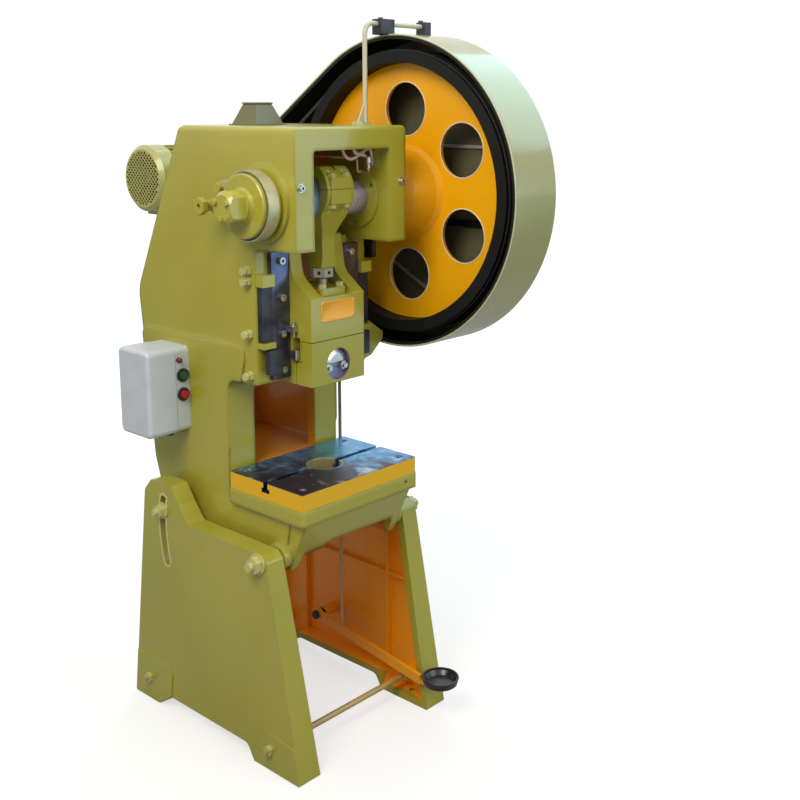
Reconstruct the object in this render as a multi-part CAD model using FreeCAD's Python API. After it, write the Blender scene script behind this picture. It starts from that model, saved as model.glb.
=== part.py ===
import FreeCAD, Part
import math
import os

# An open-back inclinable power press of the 16 tonne size. X runs to the operator's
# right, Y to the rear and Z up. Sizes are in millimetres. The model is drawn about the
# press axis (the slide's centre line, at X 0 and Y 0, floor at Z 0). write() moves it so
# that the origin is the middle of the four anchor holes in the feet.

V = FreeCAD.Vector

# ---------------------------------------------------------------- driving dimensions
running_gap = 0.05        # radial clearance of a journal, pin or bore that turns
contact_gap = 0.3         # between pieces of two bodies that pass close by
sliding_gap = 0.5         # between the slide and its ways

# press data
stroke = 55.0
bolster_top = 800.0
open_height = 255.0       # bolster to slide with the crank at the top
crank_height = 1561.0
throat = 166.0            # press axis to the columns' faces
shank_diameter = 40.0
shank_depth = 60.0

# bolster plate
bolster_length = 450.0
bolster_depth = 300.0
bolster_thickness = 48.0
drop_hole = 100.0
tee_slot_mouth = 18.0
tee_slot_foot = 32.0
tee_slot_depth = 30.0
tee_slot_foot_height = 13.0

# frame casting
frame_width = 416.0
side_wall = 30.0
column_gap = 238.0
column_flange = 34.0
lower_body_step = 5.0     # the lower body stands proud of the head's sides
lower_body_top = 1165.0
table_overhang = 5.0
table_thickness = 44.0
scrap_pin_hole = 9.0      # blind hole in the table's front edge
apron_drop = 150.0        # table's underside to the apron's lower edge
apron_arch = 62.0         # height of the opening in the apron's lower edge
apron_wall = 26.0
inner_floor = 790.0
throat_top = 1064.0
lintel_height = 1030.0
guide_front = 38.0        # the face that the gibs are bolted to
guide_depth = 74.0
guide_half = 137.0        # inner faces of the guideway
head_front = 126.0
head_bottom = 1442.0
head_top = 1763.0
head_roof = 61.0
head_fillet = 14.0        # under the head, where it meets the guide faces
cheek_thickness = 65.0
rear_wall = 28.0
back_top = 352.0          # rear edge of the head's top
back_waist = 585.0        # rearmost point of the back
back_waist_height = 1275.0
base_rear = 528.0
base_rear_height = 760.0
base_foot = 470.0
bearing_boss = 207.0

# crankshaft and its bearings
journal_diameter = 96.0
crankpin_diameter = 84.0
rod_width = 100.0
bush_wall = 10.0
bush_flange = 170.0
bush_flange_thickness = 9.0
brake_journal = 60.0
flywheel_journal = 84.0

# connecting rod
big_end_radius = 80.0
rod_split = 6.0           # the cap's joint above the pin's centre
rod_cap_height = 66.0
shank_width = 48.0
rod_shank_end = 1374.0
ball_height = 1262.0      # ball centre with the crank at the top
ball_diameter = 50.0
screw_neck = 30.0
collar_diameter = 66.0
collar_height = 26.0

# slide
slide_width = 204.0
slide_front = 63.0
slide_block_height = 246.0
horn_width = 42.0
horn_height = 405.0
wing_thickness = 60.0
clamp_height = 124.0
clamp_split = 2.0
clamp_recess = 90.0
knockout_slot_height = 60.0
knockout_bar_height = 26.0

# flywheel, belts, motor
flywheel_radius = 412.0
flywheel_rim = 34.0
flywheel_width = 130.0
flywheel_hub_gap = 36.0   # frame's side to the hub
flywheel_rim_gap = 92.0   # frame's side to the rim
web_inset = 56.0          # rim's left edge to the web
web_thickness = 12.0
web_hole = 158.0
web_hole_circle = 245.0
web_hole_count = 6
web_hole_start = 32.0     # degrees above the wheel's front
flywheel_hub = 280.0
flywheel_hub_small = 170.0
end_plate = 124.0         # washer that keeps the flywheel on
end_plate_thickness = 12.0
belt_count = 3
belt_width = 17.0
belt_pitch = 20.0
belt_height = 11.0
belt_inset = 12.0         # rim's left edge to the first belt
groove_depth = 8.0
motor_axis_y = 560.0
motor_axis_z = 1604.0
motor_radius = 98.0
motor_left = -195.0
motor_right = 205.0
motor_foot_height = 100.0
motor_foot_half = 82.0    # front to rear, from the shaft's line
motor_bolt_half = 70.0
bracket_drop = 162.0      # motor's feet to the foot of the bracket's back plate
motor_shaft = 28.0
pulley_radius = 45.0

# belt guard and its stay
guard_left_gap = 13.0
guard_right_gap = 39.0
guard_rim_gap = 45.0      # flywheel's rim to the guard's outer face
guard_tail_gap = 61.0     # the same round the motor's pulley
guard_sheet = 3.0
guard_lip = 14.0
stay_diameter = 14.0
stay_inset = 4.0          # frame's side to the stay's middle
stay_y = 26.0
stay_bend = 30.0
bracket_thickness = 10.0  # lower bracket of the guard
bracket_low = 1070.0      # along the frame's side
bracket_high = 1196.0
bracket_tip_low = 1122.0  # along the guard's face
bracket_tip_high = 1142.0
bracket_bolt_gap = 44.0   # between its two bolts

# oil box on the head
oil_box_x = -50.0
oil_box_y = 200.0
oil_box_base = 104.0
oil_box_top = 56.0
oil_box_height = 58.0

# brake
drum_diameter = 170.0
drum_gap = 10.0           # frame's side to the drum
drum_width = 62.0
band_width = 36.0
band_gap = 24.0           # frame's side to the band
band_thickness = 3.0
lining_thickness = 4.5
hub_length = 66.0         # drum's face to the end of its hub
hub_radius = 44.0
hub_flat = 35.0           # crank's axis to the block's flats
hub_cap = 14.0            # metal that closes the hub over the crank's end
hub_stud_circle = 27.0

# stand
leg_reach = 92.0          # frame's side to the leg's outer face
leg_plate = 18.0
leg_rim_gap = 16.0        # frame's side to the leg's rim, at the foot
leg_rim_lean = 18.0       # and further out at the leg's top
leg_rim = 20.0
leg_top = 730.0
foot_pad_step = 4.0
anchor_inset = 40.0       # leg's outer face to the anchor holes
anchor_front = -110.0
anchor_rear = 497.0
anchor_hole = 18.0
pivot_y = -51.0
pivot_z = 602.0
pivot_diameter = 36.0
lock_y = 378.0
lock_z = 645.0
lock_diameter = 24.0
tilt_slot = 20.0          # degrees of arc that the leaning slots allow
tie_rod = 18.0
tie_front = (-85.0, 65.0)
tie_rear = (478.0, 75.0)

# treadle and clutch linkage
lever_pivot = (261.0, 171.0)
treadle_pin_diameter = 16.0
lever_thickness = 12.0
lever_height = 30.0
lever_front = (-192.0, 106.0)
pad_diameter = 112.0
pad_offset = 8.0          # pull rod to the pad's middle
pad_y = -252.0
pad_top = 131.0
pull_rod_gap = 12.0       # frame's side to the rod's middle
pull_rod_y = 160.0
pull_rod_diameter = 10.0
pull_pin_diameter = 10.0
hook_reach = 7.0          # rod's middle to the bars that it joins
clutch_pivot = (215.0, 1385.0)
clutch_lever_thickness = 14.0
spring_wire = 3.0
spring_coil = 20.0
spring_turns = 9

# control box on the left side
box_reach = 150.0         # frame's side to the box's lid
box_seam_gap = 54.0
box_front = 342.0
box_depth = 143.0
box_bottom = 880.0
box_height = 252.0
button_diameter = 24.0
button_travel = 4.0

# ---------------------------------------------------------------- derived dimensions
half_width = frame_width / 2
flywheel_hub_start = half_width + flywheel_hub_gap
flywheel_left = half_width + flywheel_rim_gap
flywheel_right = flywheel_left + flywheel_width
web_face = flywheel_left + web_inset
belt_start = flywheel_left + belt_inset
end_plate_x = flywheel_right + 4
guard_left = flywheel_left - guard_left_gap
guard_right = flywheel_right + guard_right_gap
guard_radius = flywheel_radius + guard_rim_gap
guard_tail_radius = pulley_radius + guard_tail_gap
stay_x = half_width - stay_inset
drum_right = -half_width - drum_gap
drum_left = drum_right - drum_width
hub_end = drum_left - hub_length
band_right = -half_width - band_gap
band_left = band_right - band_width
leg_outer = half_width + leg_reach
leg_flange_bottom = half_width + leg_rim_gap
leg_flange_top = leg_flange_bottom + leg_rim_lean
anchor_half_width = leg_outer - anchor_inset
pull_rod_x = half_width + pull_rod_gap
lever_inner = pull_rod_x - hook_reach - lever_thickness
pad_x = pull_rod_x + pad_offset
box_left = -half_width - box_reach
box_seam = -half_width - box_seam_gap
slide_back = guide_front + sliding_gap + wing_thickness
lower_half = half_width + lower_body_step
slide_bottom = bolster_top + open_height
crankpin_z = crank_height + stroke / 2
table_top = bolster_top - bolster_thickness
table_bottom = table_top - table_thickness
table_half = bolster_length / 2 + table_overhang
table_front = -bolster_depth / 2 - table_overhang
apron_bottom = table_bottom - apron_drop
cheek_inner = half_width - cheek_thickness
window_top = head_top - head_roof
anchor_middle = (anchor_front + anchor_rear) / 2
leg_inner_face = leg_outer - leg_plate
motor_foot_z = motor_axis_z - motor_foot_height
bracket_foot = motor_foot_z - bracket_drop
datum_shift = V(0, -anchor_middle, 0)


# ---------------------------------------------------------------- shape helpers
def block(x0, x1, y0, y1, z0, z1):
    return Part.makeBox(x1 - x0, y1 - y0, z1 - z0, V(x0, y0, z0))


def rod_x(diameter, x0, x1, y, z):
    return Part.makeCylinder(diameter / 2, x1 - x0, V(x0, y, z), V(1, 0, 0))


def rod_y(diameter, y0, y1, x, z):
    return Part.makeCylinder(diameter / 2, y1 - y0, V(x, y0, z), V(0, 1, 0))


def rod_z(diameter, z0, z1, x, y):
    return Part.makeCylinder(diameter / 2, z1 - z0, V(x, y, z0), V(0, 0, 1))


def hexagon(across_flats, height, base, direction):
    """A hexagon head or nut that stands on base along direction."""
    corner = across_flats / math.sqrt(3)
    points = []
    for index in range(7):
        angle = math.radians(60 * index)
        points.append(V(corner * math.cos(angle), corner * math.sin(angle), 0))
    head = Part.Face(Part.makePolygon(points)).extrude(V(0, 0, height))
    head.Placement = FreeCAD.Placement(base, FreeCAD.Rotation(V(0, 0, 1), direction))
    return head


def diamond_x(width, x0, x1, y, z):
    """A square bar on its corner along X."""
    half = width / 2
    points = [V(x0, y - half, z), V(x0, y, z + half), V(x0, y + half, z), V(x0, y, z - half),
              V(x0, y - half, z)]
    return Part.Face(Part.makePolygon(points)).extrude(V(x1 - x0, 0, 0))


def rounded_face(corners, place):
    """A flat face whose corners are (u, v) or (u, v, radius); place maps u, v to a point."""
    edges = []
    starts = []
    count = len(corners)
    for index in range(count):
        here = corners[index]
        before = corners[index - 1]
        after = corners[(index + 1) % count]
        radius = here[2] if len(here) > 2 else 0.0
        corner = V(here[0], here[1], 0)
        towards_before = V(before[0], before[1], 0).sub(corner).normalize()
        towards_after = V(after[0], after[1], 0).sub(corner).normalize()
        if radius == 0.0:
            starts.append((corner, None, corner))
            continue
        half = towards_before.getAngle(towards_after) / 2
        reach = radius / math.tan(half)
        middle_way = towards_before.add(towards_after).normalize()
        centre = corner.add(middle_way.multiply(radius / math.sin(half)))
        first = corner.add(V(towards_before).multiply(reach))
        last = corner.add(V(towards_after).multiply(reach))
        nearest = corner.sub(centre).normalize().multiply(radius).add(centre)
        starts.append((first, nearest, last))
    for index in range(count):
        first, nearest, last = starts[index]
        if nearest is not None:
            edges.append(Part.Arc(place(first), place(nearest), place(last)).toShape())
        following = starts[(index + 1) % count][0]
        if last.distanceToPoint(following) > 0.001:
            edges.append(Part.LineSegment(place(last), place(following)).toShape())
    return Part.Face(Part.Wire(edges))


def side_profile(corners, x0, x1):
    """Corners are (y, z, radius); the profile is extruded from x0 to x1."""
    face = rounded_face(corners, lambda point: V(x0, point.x, point.y))
    return face.extrude(V(x1 - x0, 0, 0))


def front_profile(corners, y0, y1):
    """Corners are (x, z, radius); the profile is extruded from y0 to y1."""
    face = rounded_face(corners, lambda point: V(point.x, y0, point.y))
    return face.extrude(V(0, y1 - y0, 0))


def plan_profile(corners, z0, z1):
    """Corners are (x, y, radius); the profile is extruded from z0 to z1."""
    face = rounded_face(corners, lambda point: V(point.x, point.y, z0))
    return face.extrude(V(0, 0, z1 - z0))


def rectangle(u0, u1, v0, v1, radius=0.0):
    return [(u0, v0, radius), (u1, v0, radius), (u1, v1, radius), (u0, v1, radius)]


def turned_x(stations, y, z):
    """A solid of revolution about an X axis; stations are (x, radius)."""
    points = [V(stations[0][0], y, z)]
    for x, radius in stations:
        points.append(V(x, y, z + radius))
    points.append(V(stations[-1][0], y, z))
    points.append(points[0])
    return Part.Face(Part.makePolygon(points)).revolve(V(0, y, z), V(1, 0, 0), 360)


def turned_z(stations, x, y):
    """A solid of revolution about a Z axis; stations are (z, radius)."""
    points = [V(x, y, stations[0][0])]
    for z, radius in stations:
        points.append(V(x + radius, y, z))
    points.append(V(x, y, stations[-1][0]))
    points.append(points[0])
    return Part.Face(Part.makePolygon(points)).revolve(V(x, y, 0), V(0, 0, 1), 360)


def stadium_z(radius, swing, z0, z1):
    """A slot along Y, from the press axis rearward by swing."""
    near = rod_z(2 * radius, z0, z1, 0, 0)
    far = rod_z(2 * radius, z0, z1, 0, swing)
    middle = block(-radius, radius, 0, swing, z0, z1)
    return near.fuse([far, middle]).removeSplitter()


def mirrored(shape):
    return shape.mirror(V(0, 0, 0), V(1, 0, 0))


def bent_bar(points, bend_radius, diameter):
    """A round bar through straight runs joined by tangent arcs."""
    edges = []
    start = points[0]
    for index in range(1, len(points) - 1):
        corner = points[index]
        back = points[index - 1].sub(corner).normalize()
        ahead = points[index + 1].sub(corner).normalize()
        half = back.getAngle(ahead) / 2
        reach = bend_radius / math.tan(half)
        first = corner.add(V(back).multiply(reach))
        last = corner.add(V(ahead).multiply(reach))
        centre = corner.add(back.add(ahead).normalize().multiply(bend_radius / math.sin(half)))
        nearest = corner.sub(centre).normalize().multiply(bend_radius).add(centre)
        edges.append(Part.LineSegment(start, first).toShape())
        edges.append(Part.Arc(first, nearest, last).toShape())
        start = last
    edges.append(Part.LineSegment(start, points[-1]).toShape())
    path = Part.Wire(edges)
    direction = points[1].sub(points[0])
    section = Part.Wire(Part.makeCircle(diameter / 2, points[0], direction))
    return path.makePipeShell([section], True, False)


def loop_profile(big_radius, small_radius, x0, x1):
    """The outline of a belt round the crank axis and the motor axis, as a solid."""
    big = V(x0, 0, crank_height)
    small = V(x0, motor_axis_y, motor_axis_z)
    across = small.sub(big)
    distance = across.Length
    along = V(across).normalize()
    normal = V(0, -along.z, along.y)
    lean = (big_radius - small_radius) / distance
    rise = math.sqrt(1 - lean * lean)
    upper = V(along).multiply(lean).add(V(normal).multiply(rise))
    lower = V(along).multiply(lean).sub(V(normal).multiply(rise))
    big_top = big.add(V(upper).multiply(big_radius))
    big_low = big.add(V(lower).multiply(big_radius))
    big_far = big.sub(V(along).multiply(big_radius))
    small_top = small.add(V(upper).multiply(small_radius))
    small_low = small.add(V(lower).multiply(small_radius))
    small_far = small.add(V(along).multiply(small_radius))
    edges = [
        Part.Arc(big_top, big_far, big_low).toShape(),
        Part.LineSegment(big_low, small_low).toShape(),
        Part.Arc(small_low, small_far, small_top).toShape(),
        Part.LineSegment(small_top, big_top).toShape(),
    ]
    return Part.Face(Part.Wire(edges)).extrude(V(x1 - x0, 0, 0))


def write(name, *shapes):
    """Writes the solids of one node, moved so that the anchor holes are about the origin."""
    solids = []
    for shape in shapes:
        solids.extend(shape.Solids)
    part = solids[0] if len(solids) == 1 else Part.makeCompound(solids)
    part = part.copy()
    part.translate(datum_shift)
    part.exportStep("parts/" + name + ".step")


# ---------------------------------------------------------------- frame casting
def frame_side_outline():
    """The C outline, from the head's front lower corner clockwise seen from the left."""
    return [
        (-head_front, head_bottom),
        (-head_front, head_top, 10),
        (back_top, head_top, 30),
        (back_waist, back_waist_height, 110),
        (base_rear, base_rear_height, 80),
        (base_foot, apron_bottom + 20, 30),
        (-77, apron_bottom, 8),
        (-142, table_bottom - 8),
        (-142, table_bottom + 4),
        (throat, table_bottom + 4),
        (throat, throat_top, 32),
        (guide_front, throat_top, 6),
        (guide_front, head_bottom, head_fillet),
    ]


def frame_casting():
    """The one-piece C-shaped casting: head, back, columns, table and hollow base."""
    outline = front_profile(
        [(-half_width, apron_bottom - 10), (half_width, apron_bottom - 10),
         (half_width, head_top, 16), (-half_width, head_top, 16)],
        -head_front - 60, back_waist + 20)
    body = side_profile(frame_side_outline(), -half_width, half_width).common(outline)
    lower = side_profile(
        [(table_front + 70, table_bottom), (throat + 6, table_bottom),
         (throat + 6, table_top + 90, 20), (throat - 75, lower_body_top - 40, 30),
         (throat - 75, lower_body_top, 16), (back_waist - 12, lower_body_top, 30),
         (base_rear, base_rear_height, 80), (base_foot, apron_bottom + 20, 30),
         (-60, apron_bottom, 8)],
        -lower_half, lower_half)
    outer = side_profile(frame_side_outline(), -lower_half, lower_half)
    body = body.fuse(lower.common(outer))
    table = plan_profile(
        [(-table_half, table_front, 12), (table_half, table_front, 12),
         (table_half, throat - 14, 4), (-table_half, throat - 14, 4)],
        table_bottom, table_top)
    body = body.fuse(table)
    boss = rod_x(bearing_boss, -half_width - 8, half_width + 8, 0, crank_height)
    boss_reach = leg_flange_bottom + 11
    pivot_boss = rod_x(76, -boss_reach, boss_reach, pivot_y, pivot_z)
    lock_boss = rod_x(64, -boss_reach, boss_reach, lock_y, lock_z)
    body = body.fuse([boss, pivot_boss, lock_boss])
    for cut in frame_hollows():
        body = body.cut(cut)
    return body.removeSplitter()


def frame_hollows():
    """Everything that the casting leaves open, and its bored and drilled holes."""
    inner_half = half_width - side_wall
    head_window = front_profile(
        [(-cheek_inner, head_bottom - 1), (cheek_inner, head_bottom - 1),
         (cheek_inner, window_top, 10), (-cheek_inner, window_top, 10)],
        -head_front - 1, 270)
    guideway = block(-guide_half, guide_half, guide_front - head_fillet - 1,
                     guide_front + guide_depth + 1, throat_top - 1, head_bottom)
    shaft = side_profile(
        [(guide_front + guide_depth, lintel_height + 40), (throat + column_flange, lintel_height),
         (throat + column_flange, inner_floor), (base_rear - rear_wall, inner_floor),
         (back_waist - rear_wall - 6, back_waist_height - 20, 90), (430, head_bottom + 60),
         (guide_front + guide_depth, head_bottom + 60)],
        -inner_half, inner_half)
    shaft = shaft.cut(block(-inner_half, -cheek_inner, 0, 600, head_bottom - 1, head_top))
    shaft = shaft.cut(block(cheek_inner, inner_half, 0, 600, head_bottom - 1, head_top))
    throat_window = front_profile(
        [(-column_gap / 2, inner_floor), (column_gap / 2, inner_floor),
         (column_gap / 2, lintel_height, 24), (-column_gap / 2, lintel_height, 24)],
        throat - 1, throat + column_flange + 1)
    rear_window = front_profile(
        rectangle(-column_gap / 2, column_gap / 2, inner_floor + 60, bracket_foot - 20, 24),
        300, back_waist + 10)
    base = side_profile(
        [(-142 + 2 * apron_wall, apron_bottom - 1), (-142 + apron_wall + 4, table_bottom),
         (throat, table_bottom), (throat + 60, inner_floor - 40),
         (base_rear - 40, inner_floor - 40), (base_foot - rear_wall, apron_bottom - 1)],
        -inner_half, inner_half)
    arch = front_profile(
        [(-190, apron_bottom - 2), (-128, apron_bottom + 8, 60),
         (-88, apron_bottom + apron_arch, 44), (inner_half, apron_bottom + apron_arch - 8, 14),
         (inner_half + 4, apron_bottom - 2)],
        -150, -142 + 2 * apron_wall + 20)
    holes = [
        rod_z(drop_hole + 20, table_bottom - 1, table_top + 1, 0, 0),
        rod_x(journal_diameter + 2 * bush_wall, -half_width - 9, half_width + 9, 0, crank_height),
        rod_x(pivot_diameter + 2 * running_gap, -leg_outer, leg_outer, pivot_y, pivot_z),
        rod_x(lock_diameter, -leg_outer, leg_outer, lock_y, lock_z),
        rod_x(anchor_stud[0], -half_width - 9, -half_width, upper_anchor[0], upper_anchor[1]),
        rod_y(scrap_pin_hole, table_front - 1, table_front + 20, table_half - 50,
              table_bottom + table_thickness / 2 + 4),
    ]
    for z in left_bolt_heights:
        holes.append(rod_x(14, -half_width, 0, side_bolt_y, z))
    for z in right_bolt_heights:
        holes.append(rod_x(14, 0, half_width, side_bolt_y, z))
    return [head_window, guideway, shaft, throat_window, rear_window, base, arch] + holes


def bolster_plate():
    """The machined plate on the table, with one tee slot and the drop hole."""
    plate = block(-bolster_length / 2, bolster_length / 2, -bolster_depth / 2,
                  bolster_depth / 2, table_top, bolster_top)
    slot_floor = bolster_top - tee_slot_depth
    mouth = block(-bolster_length, bolster_length, -tee_slot_mouth / 2, tee_slot_mouth / 2,
                  slot_floor, bolster_top + 1)
    foot = block(-bolster_length, bolster_length, -tee_slot_foot / 2, tee_slot_foot / 2,
                 slot_floor, slot_floor + tee_slot_foot_height)
    hole = rod_z(drop_hole, table_top - 1, bolster_top + 1, 0, 0)
    plate = plate.cut(mouth).cut(foot).cut(hole)
    for x, y in bolster_screw_places():
        plate = plate.cut(rod_z(26, bolster_top - 15, bolster_top + 1, x, y))
        plate = plate.cut(rod_z(17, table_top - 1, bolster_top, x, y))
    return plate


def bolster_screw_places():
    places = []
    for x in (-bolster_length / 2 + 35, bolster_length / 2 - 35):
        for y in (-bolster_depth / 2 + 35, bolster_depth / 2 - 35):
            places.append((x, y))
    return places


def bolster_screws():
    """Socket screws sunk in the plate's corners, ending on the table."""
    screws = []
    for x, y in bolster_screw_places():
        head = rod_z(24, bolster_top - 15, bolster_top - 2, x, y)
        shank = rod_z(16, table_top, bolster_top - 15, x, y)
        socket = hexagon(14, 8, V(x, y, bolster_top - 9), V(0, 0, 1))
        screws.append(head.fuse(shank).cut(socket))
    return screws


# ---------------------------------------------------------------- slide guides
gib_share = 0.6           # of the face between the slide and the frame's side
gib_thickness = 16.0
gib_screw_line = 30.0     # from the bar's inner edge
gib_bottom = throat_top + 11
gib_top = head_bottom - 14
gib_inner = slide_width / 2 + sliding_gap
gib_width = gib_share * (half_width - gib_inner)
wedge_gap = 0.5
wedge_inner = gib_inner + gib_width + wedge_gap
wedge_bottom = gib_bottom + 111
wedge_top = gib_top - 92
keeper_gap = 2.0
top_keeper = 33.0
foot_keeper = 16.0


def guide_bars():
    """The two steel bars bolted to the guide faces, which hold the slide's wings."""
    face = guide_front - gib_thickness
    bar = block(gib_inner, gib_inner + gib_width, face, guide_front, gib_bottom, gib_top)
    for z in gib_screw_heights():
        bar = bar.cut(rod_y(12, face, guide_front, gib_inner + gib_screw_line, z))
    return [bar, mirrored(bar)]


def gib_screw_heights():
    span = gib_top - gib_bottom - 50
    return [gib_bottom + 25 + span * index / 3 for index in range(4)]


def gib_screws():
    """Socket screws through the guide bars into the frame's guide faces."""
    screws = []
    x = gib_inner + gib_screw_line
    face = guide_front - gib_thickness
    for z in gib_screw_heights():
        shank = rod_y(12, face, guide_front, x, z)
        head = rod_y(20, face - 10, face, x, z)
        socket = hexagon(10, 6, V(x, face - 10, z), V(0, 1, 0))
        screw = head.fuse(shank).cut(socket)
        screws.append(screw)
        screws.append(mirrored(screw))
    return screws


def gib_backing():
    """Dark wedge bars beside the guide bars, which the side screws press inwards."""
    face = guide_front - gib_thickness
    upper = block(wedge_inner, half_width - 4, face - 2, guide_front, wedge_bottom, wedge_top)
    lower = block(wedge_inner - 20, half_width - 14, face - 18, face,
                  gib_bottom + 21, wedge_bottom - foot_keeper - 3 * keeper_gap)
    return [upper, mirrored(upper), lower, mirrored(lower)]


def gib_keepers():
    """Painted keeper blocks across the top and the foot of the wedge bars."""
    top = wedge_top + keeper_gap
    foot = wedge_bottom - keeper_gap
    shapes = []
    for low, high in ((top, top + top_keeper), (foot - foot_keeper, foot)):
        keeper = block(wedge_inner, half_width, guide_front - 30, guide_front, low, high)
        shapes.append(keeper)
        shapes.append(mirrored(keeper))
    return shapes


side_bolt_y = guide_front + 28
left_bolt_heights = (1380.0, 1350.0, 1205.0, 1088.0)
right_bolt_heights = (1280.0, 1205.0, 1088.0)     # fewer, below the clutch lever


def gib_adjusters():
    """Set bolts with lock nuts, through the frame's sides into the guideway."""
    y = side_bolt_y

    def bolt(z):
        shank = rod_x(14, guide_half, half_width + 26, y, z)
        nut = hexagon(24, 12, V(half_width, y, z), V(1, 0, 0))
        head = hexagon(20, 9, V(half_width + 17, y, z), V(1, 0, 0))
        return shank.fuse([nut, head])

    left = [mirrored(bolt(z)) for z in left_bolt_heights]
    right = [bolt(z) for z in right_bolt_heights]
    return left + right


# ---------------------------------------------------------------- crankshaft
def crankshaft():
    """One forging: the crankpin between two journals, the brake end and the clutch end."""
    shoulder = rod_width / 2 + contact_gap
    pin = rod_x(crankpin_diameter, -shoulder, shoulder, 0, crankpin_z)
    left = rod_x(journal_diameter, -half_width - 9, -shoulder, 0, crank_height)
    right = rod_x(journal_diameter, shoulder, half_width + 9, 0, crank_height)
    brake_end = rod_x(brake_journal, hub_end + hub_cap, -half_width - 9, 0, crank_height)
    clutch_end = rod_x(flywheel_journal, half_width + 9, end_plate_x, 0, crank_height)
    return pin.fuse([left, right, brake_end, clutch_end]).removeSplitter()


def bearing_bush():
    """Right-hand bronze-lined bush, flanged on the inner side of its cheek."""
    outer = rod_x(journal_diameter + 2 * bush_wall, cheek_inner - bush_flange_thickness,
                  half_width + 8, 0, crank_height)
    flange = rod_x(bush_flange, cheek_inner - bush_flange_thickness, cheek_inner, 0, crank_height)
    bore = rod_x(journal_diameter + 2 * running_gap, 0, half_width + 20, 0, crank_height)
    bush = outer.fuse(flange).cut(bore)
    for index in range(3):
        angle = math.radians(30 + 120 * index)
        y = 71 * math.cos(angle)
        z = crank_height + 71 * math.sin(angle)
        bush = bush.cut(rod_x(10, cheek_inner - 20, cheek_inner, y, z))
    return bush


def clutch_ring():
    """Collar beside the flywheel, notched for the rolling key's tail."""
    ring = rod_x(128, half_width + 9, flywheel_hub_start - 3, 0, crank_height)
    ring = ring.cut(rod_x(flywheel_journal, half_width, flywheel_left, 0, crank_height))
    notch = block(half_width, flywheel_hub_start, 20, 44, crank_height - 80, crank_height - 46)
    return ring.cut(notch)


def crank_end_plate():
    """Washer and bolt that keep the flywheel on the crankshaft."""
    far = end_plate_x + end_plate_thickness
    plate = turned_x([(end_plate_x, end_plate / 2), (far - 3, end_plate / 2),
                      (far, end_plate / 2 - 3)], 0, crank_height)
    head = hexagon(36, 14, V(far, 0, crank_height), V(1, 0, 0))
    return plate.fuse(head)


def brake_drum():
    drum = turned_x([(drum_left, drum_diameter / 2 - 3), (drum_left + 3, drum_diameter / 2),
                     (drum_right, drum_diameter / 2)], 0, crank_height)
    return drum.cut(rod_x(brake_journal, drum_left - 1, 0, 0, crank_height))


def brake_hub():
    """End block that closes over the crank's end: a chamfered nose, one flat, a round foot."""
    foot = drum_left - 16
    hub = turned_x([(hub_end, hub_radius - 10), (hub_end + 10, hub_radius),
                    (drum_left - 8, hub_radius), (drum_left, hub_radius + 6)], 0, crank_height)
    flats = side_profile(
        [(-hub_flat, crank_height - hub_flat), (-hub_flat, crank_height + 60),
         (60, crank_height + 60), (60, crank_height - hub_flat)], hub_end, foot)
    skirt = rod_x(2 * hub_radius + 20, foot, drum_left, 0, crank_height)
    hub = hub.common(flats.fuse(skirt))
    return hub.cut(rod_x(brake_journal, hub_end + hub_cap, 0, 0, crank_height))


def brake_hub_screws():
    screws = []
    for angle in (60, 180, 300):
        y = hub_stud_circle * math.sin(math.radians(angle))
        z = crank_height + hub_stud_circle * math.cos(math.radians(angle))
        screws.append(hexagon(13, 8, V(hub_end, y, z), V(-1, 0, 0)))
    return screws


# ---------------------------------------------------------------- band brake
lining_radius = drum_diameter / 2 + contact_gap + lining_thickness
band_radius = lining_radius + band_thickness


upper_anchor = (104.0, crank_height + 42)
lower_anchor = (132.0, crank_height - 5)
anchor_stud = (24.0, 30.0)


def band_part(inner, outer, x0, x1):
    """A band round the drum, open to the rear between its two ends."""
    ring = rod_x(2 * outer, x0, x1, 0, crank_height)
    ring = ring.cut(rod_x(2 * inner, x0 - 1, x1 + 1, 0, crank_height))
    gap = block(x0 - 1, x1 + 1, 0, 200, crank_height + 12, crank_height + 30)
    return ring.cut(gap)


def brake_band():
    """Steel band with an ear at each end, each ear on its own stud."""
    x0 = band_left
    x1 = band_right
    band = band_part(lining_radius, band_radius, x0, x1)
    middle = (x0 + x1) / 2
    upper = side_profile(
        [(70, crank_height + 32), (upper_anchor[0] + 8, crank_height + 24, 10),
         (upper_anchor[0] + 20, upper_anchor[1] + 4, 14), (upper_anchor[0], upper_anchor[1] + 20, 14),
         (60, crank_height + 68)], middle - 14, middle + 14)
    lower = side_profile(
        [(86, crank_height - 30), (lower_anchor[0] + 22, crank_height - 28, 18),
         (lower_anchor[0] + 22, crank_height + 12, 14), (86, crank_height + 12)],
        middle - 14, middle + 14)
    inside = rod_x(2 * lining_radius, x0 - 1, x1 + 1, 0, crank_height)
    band = band.fuse([upper.cut(inside), lower.cut(inside)])
    for diameter, place in zip(anchor_stud, (upper_anchor, lower_anchor)):
        band = band.cut(rod_x(diameter, x0 - 10, x1 + 10, place[0], place[1]))
    return band


def brake_lining():
    return band_part(drum_diameter / 2 + contact_gap, lining_radius,
                     band_left, band_right)


def brake_anchors():
    """Two studs in the frame's side that carry the band's ears."""
    y, z = upper_anchor
    upper = rod_x(anchor_stud[0], band_left - 6, -half_width, y, z)
    upper = upper.fuse(rod_x(anchor_stud[0] + 8, band_left - 14, band_left - 6, y, z))
    y, z = lower_anchor
    lower = rod_x(anchor_stud[1], drum_left - 22, -half_width, y, z)
    lower = lower.fuse(hexagon(42, 16, V(drum_left - 38, y, z), V(1, 0, 0)))
    lower = lower.cut(rod_x(14, drum_left - 54, drum_left - 24, y, z))
    return [upper, lower]


# ---------------------------------------------------------------- connecting rod
split_height = crankpin_z + rod_split


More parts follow.
